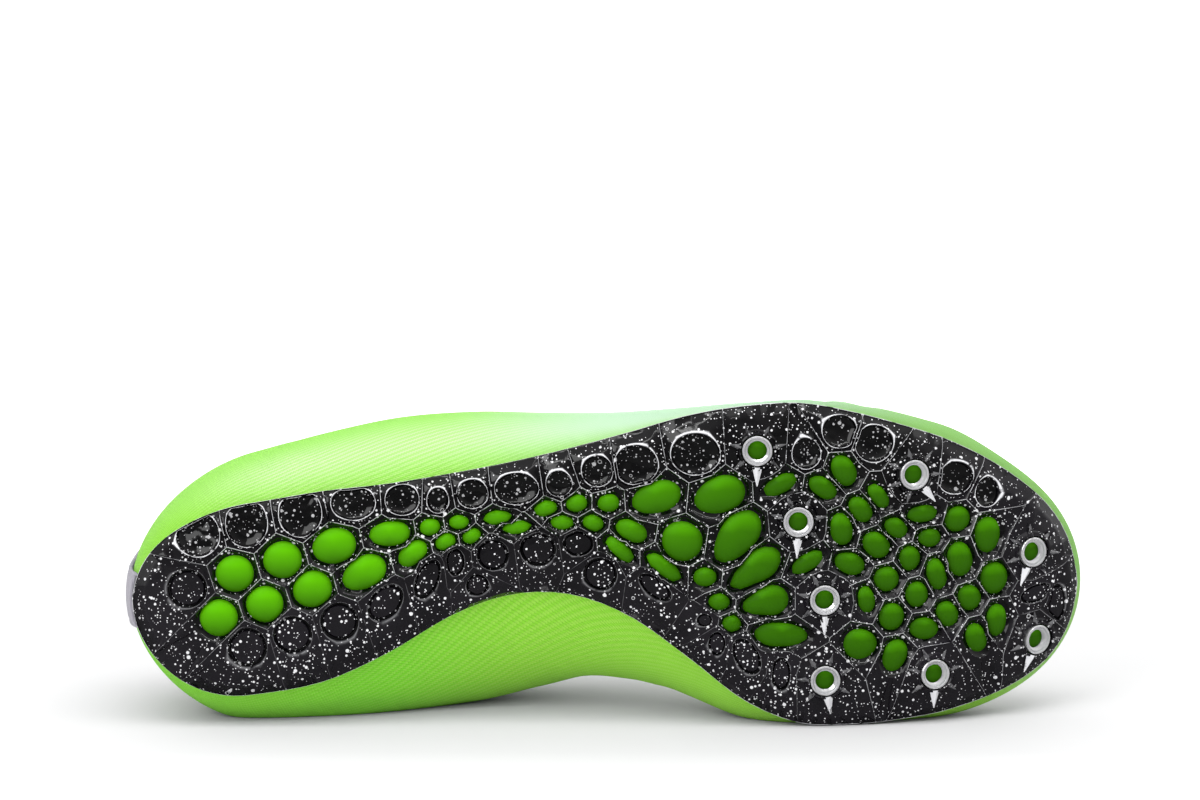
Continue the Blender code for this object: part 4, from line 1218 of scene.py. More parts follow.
def sink_tiles(bm, jobs, reach, shine, hollow):
    """Insets faces ring by ring, and moves each ring to its place inside the face's tile."""
    for depth in range(max(len(levels) for _, _, levels in jobs)):
        active = [job for job in jobs if depth < len(job[2])]
        bmesh.ops.inset_individual(bm, faces=[face for face, _, _ in active], thickness=0.0)
        for face, tile, levels in active:
            ring = levels[depth]
            middle = Vector((tile.x, tile.w))
            for vert in face.verts:
                out = vert.co.xy - middle
                if depth == 0:
                    vert[reach] = out.length
                edge = vert[reach]
                angle = math.atan2(out.y, out.x)
                oval = min(oval_radius(tile, angle), edge - least_web) * ring.shrink
                radius = edge + (oval - edge) * ring.nearness
                if ring.hollow:
                    radius = min(radius, oval + funnel_reach * (1 - ring.nearness))
                if ring.inwards:
                    radius = max(edge - ring.inwards, (edge + oval) / 2)
                place = middle + Vector((math.cos(angle), math.sin(angle))) * radius
                vert.co = (place.x, place.y, ring.rise)
                # Masks for the plate's painted highlight and painted shade
                vert[shine], vert[hollow] = ring.shine, ring.hollow


def rolled(x, w, rise):
    """Rolls the plate's rim back, more towards its edge, and leaves its inner face where it is."""
    along = clamped(x / shoe_length)
    across = (w - sole_middle(along)) / sole_half_width(along)
    near = clamped((math.hypot(into_end(along), across) - rim_start) / (1 - rim_start))
    return rise + rim_roll * near**2 * (1 - rise / plate_thickness)


# Lengths of a socket's fins, from the first one round
FIN_REACHES = (0.0056, 0.0034, 0.0038, 0.0030, 0.0036, 0.0034, 0.0038)
# Painted highlight on the other fins
other_fins_shine = 0.5


def socket_fins(bm, sizes, shine):
    """Sharp fins like a star round each socket."""
    rim = socket_radius + gap
    for socket in SPIKE_SOCKETS:
        middle = Vector((shoe_length * socket.along, ball_width * socket.across, 0.0))
        for k, reach in enumerate(FIN_REACHES):
            turn = math.radians(socket.fin_turn + 180) + 2 * math.pi * k / len(FIN_REACHES)
            place = Matrix.Translation(middle) @ Matrix.Rotation(turn, 4, "Z")
            place @= Matrix.Translation((rim * 1.03 + reach / 2, 0.0, 0.0))
            broad = (1.25, 1.15, 1.0, 1.0) if k == 0 else (1.0, 0.75, 1.0, 1.0)
            place @= Matrix.Rotation(math.pi / 2, 4, "Y") @ Matrix.Diagonal(broad)
            made = bmesh.ops.create_cone(
                bm, cap_ends=True, segments=4, radius1=sizes.fin_height, radius2=0.00012,
                depth=reach, matrix=place)["verts"]
            for vert in made:
                # Painted highlight: each fin carries the shine mask
                vert[shine] = socket.fin_shine if k == 0 else other_fins_shine


class SPIKE_OT_outsole(bpy.types.Operator):
    """Builds the plate: open cells, pockets, ridges and the fins round the sockets"""

    bl_idname = "spike.outsole"
    bl_label = "Outsole plate"

    def execute(self, context):
        sizes, colours = context.scene.spike_sizes, context.scene.spike_colours
        tiles = plan_tiles()
        bm, owner = tiled_plan(tiles, sizes.tile_step)
        reach = bm.verts.layers.float.new("reach")
        shine = bm.verts.layers.float.new("shine")
        hollow = bm.verts.layers.float.new("hollow")
        faces = list(bm.faces)
        under = bmesh.ops.duplicate(bm, geom=bm.faces[:])["geom"]
        under_faces = [item for item in under if isinstance(item, bmesh.types.BMFace)]
        for vert in {vert for face in under_faces for vert in face.verts}:
            vert.co.z = plate_thickness
        outline = [edge for face in faces for edge in face.edges if edge.is_boundary]
        for vert in {vert for face in faces for vert in face.verts}:
            rises = [EDGE_RISE[tiles[face[owner]].kind] for face in vert.link_faces]
            vert.co.z = sizes.web_drop * sum(rises) / len(rises)
            # Painted highlight on the ridge crests, less where a tile's edge sits lower
            vert[shine] = 1.0 - sum(rises) / len(rises)
        for edge in outline:
            for vert in edge.verts:
                vert.co.z = sizes.web_drop * 0.5
                # Painted highlight: a bright line along the plate's rim
                vert[shine] = 1.7
        jobs = [(face, tiles[face[owner]], tile_levels(tiles[face[owner]], sizes)) for face in faces]
        under_jobs = []
        for face in under_faces:
            tile = tiles[face[owner]]
            if tile.kind in ("open", "socket"):
                shrink = hole_taper if tile.kind == "open" else 1.0
                under_jobs.append((face, tile, [Ring(1.0, 0.0, plate_thickness, shrink)]))
        sink_tiles(bm, jobs, reach, shine, hollow)
        sink_tiles(bm, under_jobs, reach, shine, hollow)
        for face, tile, _ in jobs + under_jobs:
            if tile.kind in ("open", "socket"):
                bm.faces.remove(face)
        wall = bmesh.ops.extrude_edge_only(bm, edges=outline)["geom"]
        for item in wall:
            if isinstance(item, bmesh.types.BMVert):
                item.co.z = plate_thickness
        closed_up(bm, 0.000005)
        turn_outwards(bm)
        socket_fins(bm, sizes, shine)
        for vert in bm.verts:
            x, w, rise = vert.co
            vert.co = onto_floor(over_sole(x, w, rolled(x, w, rise)))
        finished("outsole", laid(bm), [plate_material(colours)], ["outsole_plate"], 32.0)
        return {"FINISHED"}


class SPIKE_OT_board(bpy.types.Operator):
    """Builds the green board, with a dome behind each open cell and each socket"""

    bl_idname = "spike.board"
    bl_label = "Midsole board"

    def execute(self, context):
        sizes, colours = context.scene.spike_sizes, context.scene.spike_colours
        inset = upper_inset + upper_wall + lining_gap
        low = plate_thickness + gap
        bm = bmesh.new()
        top = bm.verts.layers.float.new("dome_top")
        lit = bm.verts.layers.float.new("dome_lit")
        mapped_grid(bm, 140, 10, lambda u, v: foot_sheet_point(u, v, inset, low))
        bmesh.ops.remove_doubles(bm, verts=bm.verts, dist=merge_distance)
        bm.normal_update()
        if sum(face.normal.z for face in bm.faces) < 0:
            bmesh.ops.reverse_faces(bm, faces=bm.faces)
        for tile in plan_tiles():
            if tile.kind in ("open", "socket"):
                add_dome(bm, tile, low, sizes.dome_height, top, lit)
        green = dome_material(colours)
        piece = finished("green_board", laid(bm), [green], ["midsole_board"], 60.0)
        walled(piece, board_thickness, 1.0)
        return {"FINISHED"}


def foot_sheet_point(u, v, inset, rise):
    """A place on a sheet under the foot, from its edge at v = 0 to its middle line at v = 1."""
    along, side = place_round(u)
    x, w = sole_edge(along, side, inset, 1.0 - v)
    return over_sole(x, w, rise)


def add_dome(bm, tile, low, height, top, lit):
    """A dome of the tile's own oval, rising out of the board towards the ground."""
    fullness = dome_fullness
    if tile.kind == "socket":
        height, fullness = socket_dome_height, socket_dome_fullness
    made = bmesh.ops.create_uvsphere(bm, u_segments=26, v_segments=14, radius=1.0)["verts"]
    cut = bmesh.ops.bisect_plane(
        bm, geom=list({item for vert in made for item in (vert, *vert.link_edges, *vert.link_faces)}),
        dist=1e-6, plane_co=(0, 0, 0), plane_no=(0, 0, -1), clear_outer=True)["geom"]
    for item in cut:
        if not isinstance(item, bmesh.types.BMVert):
            continue
        unit = item.co.copy()
        angle = math.atan2(unit.y, unit.x)
        radius = oval_radius(tile, angle) * fullness * min(1.0, math.hypot(unit.x, unit.y))
        # Masks for painted shade and painted highlight: how steep the dome is at a point, and how far up
        # its side the point lies
        item[top], item[lit] = unit.z, 0.5 + 0.5 * unit.y
        x, w = tile.x + radius * math.cos(angle), tile.w + radius * math.sin(angle)
        item.co = over_sole(x, w, low - height * unit.z)
    faces = {face for item in cut if isinstance(item, bmesh.types.BMVert) for face in item.link_faces}
    bmesh.ops.reverse_faces(bm, faces=list(faces))


def socket_profile():
    """Half of a socket's section: recessed ring, bevelled rim, flange, waist and threaded bore."""
    thread_depth, thread_pitch, bevel = 0.00028, 0.00052, 0.00018
    inner, outer, waist, top = socket_bore, socket_radius, socket_waist, plate_thickness
    line = [(inner + 0.00030, 0.0007 - socket_lip), (inner + 0.00045, 0.0003 - socket_lip),
            (inner + 0.00065, 0.0006 - socket_lip), (outer - 0.00072, 0.0007 - socket_lip),
            (outer - 0.00058, -socket_lip), (outer - bevel, -socket_lip), (outer, bevel - socket_lip),
            (outer, socket_flange), (waist, socket_flange), (waist, top), (inner - thread_depth, top)]
    for k in range(int((plate_thickness + 0.0002) / thread_pitch)):
        z = plate_thickness - thread_pitch * k
        line += [(inner - thread_depth, z - thread_pitch * 0.25),
                 (inner, z - thread_pitch * 0.55), (inner, z - thread_pitch * 0.75)]
    line += [(inner - 0.00010, -0.00015), (inner + 0.00022, -0.00030)]
    return [(radius, 0.0, z) for radius, z in line]


class SPIKE_OT_sockets(bpy.types.Operator):
    """Turns the eight threaded sockets, each square to the sole where it sits"""

    bl_idname = "spike.sockets"
    bl_label = "Spike sockets"

    def execute(self, context):
        metal = metal_material(context.scene.spike_colours)
        profile = socket_profile()
        for number, socket in enumerate(SPIKE_SOCKETS, 1):
            x, w = shoe_length * socket.along, ball_width * socket.across
            bm = bmesh.new()
            full_spin(bm, profile, 44)
            closed_up(bm, 0.000002)
            turn_outwards(bm)
            seat, above = over_sole(x, w, 0.0), over_sole(x, w, 1.0)
            bmesh.ops.transform(bm, verts=bm.verts, matrix=standing(seat, above - seat))
            finished(f"socket_{number}", laid(bm), [metal], [f"spike_socket_{number}"], 28.0)
        return {"FINISHED"}


# Upper and its trim

def fold_depth(along, side, climb):
    """How far the knit stands out of the last's smooth face at a place."""
    total = 0.0
    for fold in KNIT_FOLDS:
        if fold.side != side:
            continue
        dx = (along - fold.along) * shoe_length
        dy = (climb - fold.climb) * climb_length
        turn = math.radians(fold.turn)
        ahead = dx * math.cos(turn) + dy * math.sin(turn)
        aside = dy * math.cos(turn) - dx * math.sin(turn)
        if abs(ahead) < 3 * fold.length and abs(aside) < 4 * fold.width:
            near = math.exp(-(ahead / fold.length) ** 2 - (aside / fold.width) ** 2)
            total += fold.depth * near * (1 - 0.8 * (aside / fold.width) ** 2)
    return total


def panel_relief(along, climb):
    """Raised edges of the eyestay and of the stiffener round the heel, and the collar's roll."""
    relief = 0.0
    eyestay = climb_of_eyestay(along)
    if eyestay:
        relief += 0.00035 * step_up((climb - eyestay) / 0.03)
    collar = step_up((throat_back - along) / 0.03) * math.exp(-((climb - 1.86) / 0.10) ** 2)
    heel = step_up((0.20 - along - 0.03 * climb) / 0.012) * step_up((1.5 - climb) / 0.05)
    return relief + 0.0005 * collar + 0.00022 * heel


def climb_of_eyestay(along):
    """The lower edge of the panel that carries the eyelets."""
    if along < 0.40 or along > 0.80:
        return None
    return 1.55 + 0.25 * ((along - 0.58) / 0.2) ** 2


def step_up(value):
    """0 below -1, 1 above 1, and smooth between."""
    t = clamped(value / 2 + 0.5)
    return t * t * (3 - 2 * t)


def mint_share(along, side, climb):
    """Where the lateral side, and a little of the toe, pales to mint."""
    if side < 0:
        return 0.25 * step_up((along - 0.93) / 0.05)
    rear = step_up((along - 0.42) / 0.12) * step_up((0.76 - along) / 0.10)
    toe = 0.25 * step_up((along - 0.78) / 0.08)
    faint = 0.08 * step_up((climb - 0.5) / 0.4) * step_up((0.86 - along) / 0.08)
    return 0.85 * rear * step_up((climb - 0.15) / 0.35) + faint + toe


def yellow_share(along, side):
    """Share of the yellow thread: least on the medial side, behind the arch."""
    if side > 0:
        return 0.34
    return 0.02 + 0.50 * step_up((along - 0.33) / 0.10)


def cream_share(along, side, climb):
    """Where pale threads show next to the plate, on the lateral side."""
    if side < 0:
        return 0.10
    band = math.exp(-((climb - 0.34 - 0.25 * along) / 0.30) ** 2)
    return 0.10 + 0.75 * band * step_up((along - 0.10) / 0.08) * step_up((0.62 - along) / 0.10)


class SPIKE_OT_upper(bpy.types.Operator):
    """Shapes the knit upper over the last, with its folds, panels and lining"""

    bl_idname = "spike.upper"
    bl_label = "Upper"

    def execute(self, context):
        sizes, colours = context.scene.spike_sizes, context.scene.spike_colours
        columns, rows = 264, 60
        lengths = [0.0]
        for k in range(1, columns + 1):
            here = upper_point(*place_round(k / columns), 1.0)
            lengths.append(lengths[-1] + (here - upper_point(*place_round((k - 1) / columns), 1.0)).length)
        bm = bmesh.new()
        uv = bm.loops.layers.uv.new("knit_map")
        mint = bm.verts.layers.float.new("mint")
        cream = bm.verts.layers.float.new("cream")
        yellow = bm.verts.layers.float.new("yellow")
        places = {}

        def place(u, v):
            along, side = place_round(u)
            climb = 2.0 * v
            point = upper_point(along, side, climb)
            relief = fold_depth(along, side, climb) + panel_relief(along, climb)
            if relief:
                point = onto_floor(point + relief * upper_normal(along, side, climb))
            return point

        made = bmesh.ops.create_grid(bm, x_segments=columns, y_segments=rows, size=0.5)["verts"]
        for vert in made:
            u, v = clamped(vert.co.x + 0.5), clamped(vert.co.y + 0.5)
            places[vert] = (lengths[round(u * columns)], 2.0 * v * climb_length)
            along, side = place_round(u)
            vert[mint] = mint_share(along, side, 2.0 * v)
            vert[cream] = cream_share(along, side, 2.0 * v)
            vert[yellow] = yellow_share(along, side)
            vert.co = place(u, v)
        for face in bm.faces:
            for loop in face.loops:
                loop[uv].uv = places[loop.vert]
        bmesh.ops.remove_doubles(bm, verts=bm.verts, dist=merge_distance)
        middle = Vector((shoe_length / 2, 0.0, instep_height / 3))
        bmesh.ops.recalc_face_normals(bm, faces=bm.faces)
        outward = sum((face.calc_center_median() - middle).dot(face.normal) * face.calc_area()
                      for face in bm.faces)
        if outward < 0:
            bmesh.ops.reverse_faces(bm, faces=bm.faces)
        lining = woven_material("dark_lining", colours.lining, 0.0009, 0.85)
        piece = finished("knit_upper", laid(bm), [knit_material(colours, sizes.knit_pitch), lining],
                         ["upper"], 60.0)
        wall = walled(piece, upper_wall, -1.0)
        wall.use_even_offset = True
        wall.material_offset = 1
        return {"FINISHED"}


def heel_point(aside, climb, offset):
    """A place on the back of the heel, a given distance aside of its middle line."""
    side = 1 if aside >= 0 else -1
    middle = upper_point(0.0, side, climb)
    low, high = 0.0, heel_round / 2
    for _ in range(24):
        along = (low + high) / 2
        if abs(upper_point(along, side, climb).y - middle.y) < abs(aside):
            low = along
        else:
            high = along
    point = upper_point(low, side, climb)
    lean = (upper_point(0.0, 1, min(climb + 0.05, 2)) - upper_point(0.0, 1, climb - 0.05)).normalized()
    turn = aside / (sole_half_width(0.0) * 1.2)
    outward = Vector((-math.cos(turn) * lean.z, math.sin(turn), lean.x)).normalized()
    return point + offset * outward


class SPIKE_OT_heel_strip(bpy.types.Operator):
    """Lays the woven strip up the back of the heel"""

    bl_idname = "spike.heel_strip"
    bl_label = "Heel strip"

    def execute(self, context):
        sizes, colours = context.scene.spike_sizes, context.scene.spike_colours
        bm = bmesh.new()
        edge_round, stitch_inset, stitch_depth = 0.0006, 0.0014, 0.00022

        def place(u, v):
            aside = sizes.strip_width * (u - 0.5)
            from_edge = min(sizes.strip_width / 2 - abs(aside), edge_round) / edge_round
            crown = math.sqrt(max(0.0, 1 - (1 - from_edge) ** 2))
            seam = abs(sizes.strip_width / 2 - abs(aside) - stitch_inset)
            dip = stitch_depth * math.exp(-(seam / 0.0004) ** 2)
            offset = strip_gap + sizes.strip_thickness * (0.35 + 0.65 * crown) - dip
            return heel_point(aside, 0.10 + 1.85 * v, offset)

        mapped_grid(bm, 40, 60, place)
        face_towards(bm, Vector((-1.0, 0.0, 0.0)))
        tape = woven_material("grey_tape", colours.strip_grey, 0.0007, 0.6)
        piece = finished("heel_tape", laid(bm), [tape], ["heel_strip"])
        walled(piece, sizes.strip_thickness, -1.0)
        return {"FINISHED"}


def collar_outward(along, side, climb):
    """Level direction out of the collar, square to the wall."""
    step = 0.004
    if along < step:
        ahead = upper_point(step, 1, 2.0) - upper_point(step, -1, 2.0)
        side = 1
    else:
        ahead = upper_point(along + step, side, 2.0) - upper_point(along - step, side, 2.0)
    return climb.cross(ahead).normalized() * side


class SPIKE_OT_collar(bpy.types.Operator):
    """Runs the thin black binding round the collar"""

    bl_idname = "spike.collar"
    bl_label = "Collar binding"

    def execute(self, context):
        sizes, colours = context.scene.spike_sizes, context.scene.spike_colours
        radius = sizes.binding_radius
        centres, outwards = [], []
        steps = 80
        for k in range(-steps, steps + 1):
            along, side = along_at(abs(k) / steps * 0.462), 1 if k >= 0 else -1
            edge = upper_point(along, side, 2.0)
            climb = (edge - upper_point(along, side, 1.9)).normalized()
            outward = collar_outward(along, side, climb)
            centre = edge + (binding_gap + radius) * climb - outward * upper_wall / 2
            centre.y = max(centre.y, floor_across + radius + gap)
            centres.append(centre)
            outwards.append(outward)
        ups, firsts = [], []
        for k, centre in enumerate(centres):
            forward = centres[min(k + 1, 2 * steps)] - centres[max(k - 1, 0)]
            forward.normalize()
            first = (outwards[k] - outwards[k].project(forward)).normalized()
            firsts.append(first)
            ups.append(forward.cross(first))
        bm = bmesh.new()
        sweep(bm, centres, firsts, ups, radius, radius, sides=12)
        black = woven_material("black_binding", colours.binding_black, 0.0006, 0.7)
        finished("collar_edge", laid(bm), [black], ["collar_binding"], 60.0)
        return {"FINISHED"}


def tongue_section(along, low_climb):
    """Lateral to medial line under the upper's edges and across the throat."""
    climbs = [low_climb + (2 - low_climb) * k / 2 for k in range(3)]
    lateral = [upper_point(along, 1, climb) for climb in climbs]
    medial = [upper_point(along, -1, climb) for climb in reversed(climbs)]
    start, end = lateral[-1], medial[0]
    rise = (lateral[-1].z - lateral[0].z + medial[0].z - medial[-1].z) / 8
    bridge = []
    for share in (0.25, 0.5, 0.75):
        point = start.lerp(end, share)
        point.z += 4 * share * (1 - share) * rise
        bridge.append(point)
    return lateral + bridge + medial


def tongue_rows():
    rows = []
    steps = 6
    for k in range(steps + 1):
        along = tongue_front + (tongue_back - tongue_front) * k / steps
        overlap = tongue_overlap + (tongue_least_overlap - tongue_overlap) * k / steps
        rows.append(tongue_section(along, climb_at(along, overlap)))
    lean = (rows[-1][4] - rows[-2][4]).normalized()
    middle = rows[-1][4]
    for share, narrow in ((0.34, 0.84), (0.68, 0.82), (0.90, 0.74), (1.0, 0.55)):
        shift = lean * tongue_free_length * share
        drawn_in = [Vector((0.0, (point.y - middle.y) * (narrow - 1), 0.0)) for point in rows[steps]]
        rows.append([point + shift + pull for point, pull in zip(rows[steps], drawn_in)])
    return rows


class SPIKE_OT_tongue(bpy.types.Operator):
    """Lays the soft tongue under the throat"""

    bl_idname = "spike.tongue"
    bl_label = "Tongue"

    def execute(self, context):
        sizes, colours = context.scene.spike_sizes, context.scene.spike_colours
        rows = tongue_rows()
        depth = upper_wall + gap + lining_gap
        bm = bmesh.new()

        def place(u, v):
            k, i = round(v * (len(rows) - 1)), round(u * (len(rows[0]) - 1))
            before, after = rows[max(k - 1, 0)], rows[min(k + 1, len(rows) - 1)]
            across = rows[k][min(i + 1, len(rows[k]) - 1)] - rows[k][max(i - 1, 0)]
            down = across.cross(after[i] - before[i]).normalized()
            if down.z > 0:
                down.negate()
            return rows[k][i] + depth * down

        mapped_grid(bm, len(rows[0]) - 1, len(rows) - 1, place)
        face_towards(bm, Vector((0.0, 0.0, 1.0)))
        soft = woven_material("tongue_fabric", colours.lining, 0.0010, 0.8)
        piece = finished("soft_tongue", laid(bm), [soft], ["tongue"], 80.0)
        walled(piece, sizes.tongue_thickness, -1.0)
        rounding = piece.modifiers.new("Rounding", "SUBSURF")
        rounding.levels = 3
        rounding.render_levels = 3
        return {"FINISHED"}


def eyelet_place(number):
    """Place along the shoe of an eyelet pair, counted from the toe end."""
    return last_eyelet + (first_eyelet - last_eyelet) * number / (eyelet_pairs - 1)


def lace_point(along, side, distance, thickness):
    """Where the lace lies on the upper, and the way that its flat face looks."""
    climb = climb_at(along, distance)
    normal = upper_normal(along, side, climb)
    if normal.z < 0:
        normal.negate()
    return upper_point(along, side, climb) + (lace_gap + thickness / 2) * normal, normal


def lace_run(bm, number, side, other_number, lift, sizes):
    """A flat length of lace from one eyelet, over the throat, to an eyelet on the other side."""
    start, end = eyelet_place(number), eyelet_place(other_number)
    far, lace_rise, dive = lace_inset + sizes.lace_width / 2, 0.0030, 0.0016
    span = end - start
    stops = [(start, side, far), (start + span * 0.1, side, lace_inset / 2),
             (start + span * 0.2, side, 0.0), (start + span * 0.8, -side, 0.0),
             (start + span * 0.9, -side, lace_inset / 2), (end, -side, far)]
    route = [lace_point(along, where, distance, sizes.lace_thickness) for along, where, distance in stops]
    (before, normal_before), (after, normal_after) = route[2], route[3]
    over = (normal_before + normal_after).normalized()
    route.insert(3, (before.lerp(after, 0.5) + lace_rise * over, over))
    points = [point + lift * normal for point, normal in route]
    normals = [normal for _, normal in route]
    points.insert(0, points[0] - dive * normals[0] + (points[0] - points[1]).normalized() * 0.0006)
    normals.insert(0, normals[0])
    points.append(points[-1] - dive * normals[-1] + (points[-1] - points[-2]).normalized() * 0.0006)
    normals.append(normals[-1])
    centres, upwards = smooth_route(points, 8), smooth_route(normals, 8)
    sideways = []
    for k in range(len(centres)):
        forward = centres[min(k + 1, len(centres) - 1)] - centres[max(k - 1, 0)]
        upwards[k] = (upwards[k] - upwards[k].project(forward)).normalized()
        sideways.append(forward.cross(upwards[k]).normalized())
    sweep(bm, centres, sideways, upwards, sizes.lace_width / 2, sizes.lace_thickness / 2, 16, 0.7)


class SPIKE_OT_laces(bpy.types.Operator):
    """Threads the flat laces through the eyelets, and rings each eyelet"""

    bl_idname = "spike.laces"
    bl_label = "Laces and eyelets"

    def execute(self, context):
        sizes, colours = context.scene.spike_sizes, context.scene.spike_colours
        bm = bmesh.new()
        lace_run(bm, 0, 1, 0, lace_stagger, sizes)
        for number in range(eyelet_pairs - 1):
            over = lace_stagger * (1 + number % 2)
            lace_run(bm, number, 1, number + 1, 2 * over, sizes)
            lace_run(bm, number, -1, number + 1, over / 2, sizes)
        woven = woven_material("pale_lace", colours.lace, 0.0006, 0.75, 0.6)
        finished("flat_laces", laid(bm), [woven], ["laces"], 60.0)
        rings = bmesh.new()
        ring_radius, ring_tube = 0.0030, 0.00045
        for number in range(eyelet_pairs):
            for side in (1, -1):
                point, normal = lace_point(
                    eyelet_place(number), side, lace_inset + sizes.lace_width / 2, -2 * lace_gap)
                corners = []
                for k in range(8):
                    angle = 2 * math.pi * k / 8
                    radius = ring_radius + ring_tube * math.cos(angle)
                    corners.append((radius, 0.0, ring_tube * math.sin(angle)))
                verts = full_spin(rings, corners, 28)
                found, queue = set(verts), list(verts)
                while queue:
                    for edge in queue.pop().link_edges:
                        for vert in edge.verts:
                            if vert not in found:
                                found.add(vert)
                                queue.append(vert)
                bmesh.ops.transform(rings, verts=list(found), matrix=standing(point, normal))
        closed_up(rings, 0.000002)
        turn_outwards(rings)
        black = woven_material("eyelet_thread", colours.binding_black, 0.0004, 0.7)
        finished("eyelet_rings", laid(rings), [black], (), 80.0)
        return {"FINISHED"}


class SPIKE_OT_insole(bpy.types.Operator):
    """Lays the soft insole inside the upper"""

    bl_idname = "spike.insole"
    bl_label = "Insole"

    def execute(self, context):
        colours = context.scene.spike_colours
        inset = upper_inset + upper_wall + 0.0001
        low = plate_thickness + board_thickness + 2 * gap
        round_over = 0.0012
        bm = bmesh.new()

        def face_of(rise, edge_drop):
            def place(u, v):
                share = 1.0 - v
                near = max(0.0, (share - 0.93) / 0.07)
                return foot_sheet_point(u, v, inset, rise - edge_drop * near**2)
            return place

        for rise, drop in ((low, 0.0), (low + insole_thickness, round_over)):
            sheet = bmesh.new()
            mapped_grid(sheet, 120, 24, face_of(rise, drop))
            bmesh.ops.remove_doubles(sheet, verts=sheet.verts, dist=merge_distance)
            joined(bm, sheet)
        rims = [edge for edge in bm.edges if edge.is_boundary]
        bmesh.ops.bridge_loops(bm, edges=rims)
        closed_up(bm)
        turn_outwards(bm)
        cloth = woven_material("insole_cloth", colours.lining, 0.0011, 0.85, 0.3)
        finished("soft_insole", laid(bm), [cloth], ["insole"], 60.0)
        return {"FINISHED"}


# Area lights: place, size, and whether glossy surfaces mirror them
SoftLight = namedtuple("SoftLight", "name place width height mirrored")
LIGHTS = [
    SoftLight("softbox_top", (0.05, -0.30, 1.00), 1.3, 0.5, False),
    SoftLight("strip_light", (0.10, -0.75, 0.95), 1.4, 0.06, True),
    SoftLight("softbox_front", (-0.75, -1.15, 0.75), 0.8, 0.8, True),
]
light_target = Vector((0.0, -0.02, 0.045))
camera_target = Vector((-0.0016, -0.0380, 0.0965))
camera_lens, camera_sensor = 150.0, 36.0
floor_size = 14.0
floor_lift_middle, floor_lift_from, floor_lift_to = 0.03, 0.10, 0.45  # along Y, from the shoe's middle


class SPIKE_OT_stage(bpy.types.Operator):
    """Sets the floor, the studio light and the camera"""

    bl_idname = "spike.stage"
    bl_label = "Stage"

    def execute(self, context):
        colours, stage = context.scene.spike_colours, context.scene.spike_stage
        bm = bmesh.new()
        bmesh.ops.create_grid(bm, x_segments=1, y_segments=1, size=floor_size)
        mesh = bpy.data.meshes.new("floor")
        bm.to_mesh(mesh)
        bm.free()
        material, tree, shader = new_material("pale_floor", 0.75)
        faint = patchy(tree, object_place(tree), 0.4, 0.8)
        seen = tree.nodes.new("ShaderNodeLightPath").outputs["Is Camera Ray"]
        plain, low = shaded(colours.floor, floor_seen), shaded(colours.floor, floor_seen_low)
        pale = blended(tree, faint, plain, low)
        glossy = tree.nodes.new("ShaderNodeLightPath").outputs["Is Glossy Ray"]
        dim = shaded(colours.floor, floor_mirrored)
        tree.links.new(blended(tree, seen, blended(tree, glossy, colours.floor, dim), pale),
                       shader.inputs["Base Color"])
        shader.inputs["Emission Color"].default_value = (1.0, 1.0, 1.0, 1.0)
        depth = minus(tree, axes(tree, object_place(tree))[1], floor_lift_middle)
        away = ranged(tree, sums(tree, "ABSOLUTE", depth), floor_lift_from, floor_lift_to)
        lift = times(tree, away, stage.floor_lift)
        tree.links.new(times(tree, seen, lift), shader.inputs["Emission Strength"])
        mesh.materials.append(material)
        floor = bpy.data.objects.new("floor", mesh)
        context.scene.collection.objects.link(floor)
        world = context.scene.world or bpy.data.worlds.new("studio")
        context.scene.world = world
        world.use_nodes = True
        tree = world.node_tree
        sky = tree.nodes["Background"]
        sky.inputs["Color"].default_value = (1.0, 1.0, 1.0, 1.0)
        way = tree.nodes.new("ShaderNodeTexCoord").outputs["Generated"]
        split = axes(tree, way)
        lift = plus(tree, times(tree, split[1], 0.65), times(tree, split[2], 0.9))
        strength = ranged(tree, lift, -0.5, 0.8, stage.sky_strength * 0.18, stage.sky_strength)
        tree.links.new(strength, sky.inputs["Strength"])
        context.scene.view_settings.view_transform = "Standard"
        for light, energy in zip(LIGHTS, (stage.top_power, stage.strip_power, stage.front_power)):
            soft_light(light, energy)
        data = bpy.data.cameras.new("camera")
        data.lens, data.sensor_width = camera_lens, camera_sensor
        data.clip_start, data.clip_end = 0.05, 60.0
        camera = bpy.data.objects.new("camera", data)
        context.scene.collection.objects.link(camera)
        back = Vector((0.0, -math.cos(stage.camera_elevation), math.sin(stage.camera_elevation)))
        camera.location = camera_target + back * stage.camera_distance
        camera.rotation_euler = (-back).to_track_quat("-Z", "Y").to_euler()
        context.scene.camera = camera
        return {"FINISHED"}


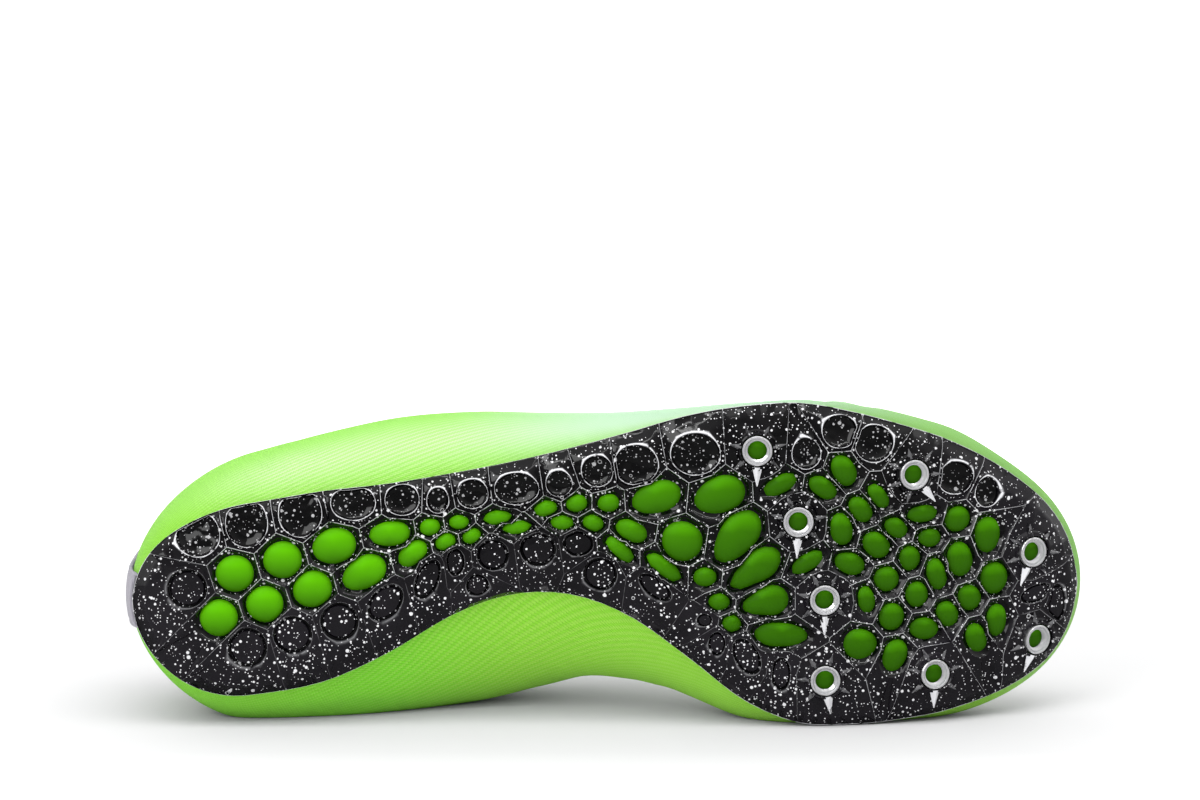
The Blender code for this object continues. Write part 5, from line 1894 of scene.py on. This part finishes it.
def soft_light(light, energy):
    """A rectangular light that looks at the middle of the shoe."""
    data = bpy.data.lights.new(light.name, "AREA")
    data.shape = "RECTANGLE"
    data.size, data.size_y = light.width, light.height
    data.energy = energy
    made = bpy.data.objects.new(light.name, data)
    bpy.context.scene.collection.objects.link(made)
    place = Vector(light.place)
    made.location = place
    made.rotation_euler = (light_target - place).to_track_quat("-Z", "Y").to_euler()
    made.visible_glossy = light.mirrored


class SPIKE_PT_panel(bpy.types.Panel):
    """Lists the pieces of the track spike shoe"""

    bl_idname = "SPIKE_PT_panel"
    bl_label = "Track Spike"
    bl_space_type = "VIEW_3D"
    bl_region_type = "UI"
    bl_category = "Track Spike"

    def draw(self, context):
        layout = self.layout
        for operator in OPERATORS:
            layout.operator(operator.bl_idname)
        for group in (context.scene.spike_sizes, context.scene.spike_colours, context.scene.spike_stage):
            box = layout.box()
            for name in group.__annotations__:
                box.prop(group, name)


OPERATORS = (
    SPIKE_OT_stage, SPIKE_OT_outsole, SPIKE_OT_board, SPIKE_OT_sockets, SPIKE_OT_upper,
    SPIKE_OT_heel_strip, SPIKE_OT_collar, SPIKE_OT_tongue, SPIKE_OT_laces, SPIKE_OT_insole,
)
CLASSES = (SpikeSizes, SpikeColours, SpikeStage, *OPERATORS, SPIKE_PT_panel)


def register():
    for cls in CLASSES:
        bpy.utils.register_class(cls)
    bpy.types.Scene.spike_sizes = PointerProperty(type=SpikeSizes)
    bpy.types.Scene.spike_colours = PointerProperty(type=SpikeColours)
    bpy.types.Scene.spike_stage = PointerProperty(type=SpikeStage)


def unregister():
    del bpy.types.Scene.spike_stage
    del bpy.types.Scene.spike_colours
    del bpy.types.Scene.spike_sizes
    for cls in reversed(CLASSES):
        bpy.utils.unregister_class(cls)


def main():
    """Builds every piece in order."""
    register()
    bpy.ops.spike.stage()
    bpy.ops.spike.outsole()
    bpy.ops.spike.board()
    bpy.ops.spike.sockets()
    bpy.ops.spike.upper()
    bpy.ops.spike.heel_strip()
    bpy.ops.spike.collar()
    bpy.ops.spike.tongue()
    bpy.ops.spike.laces()
    bpy.ops.spike.insole()


if __name__ == "__main__":
    main()
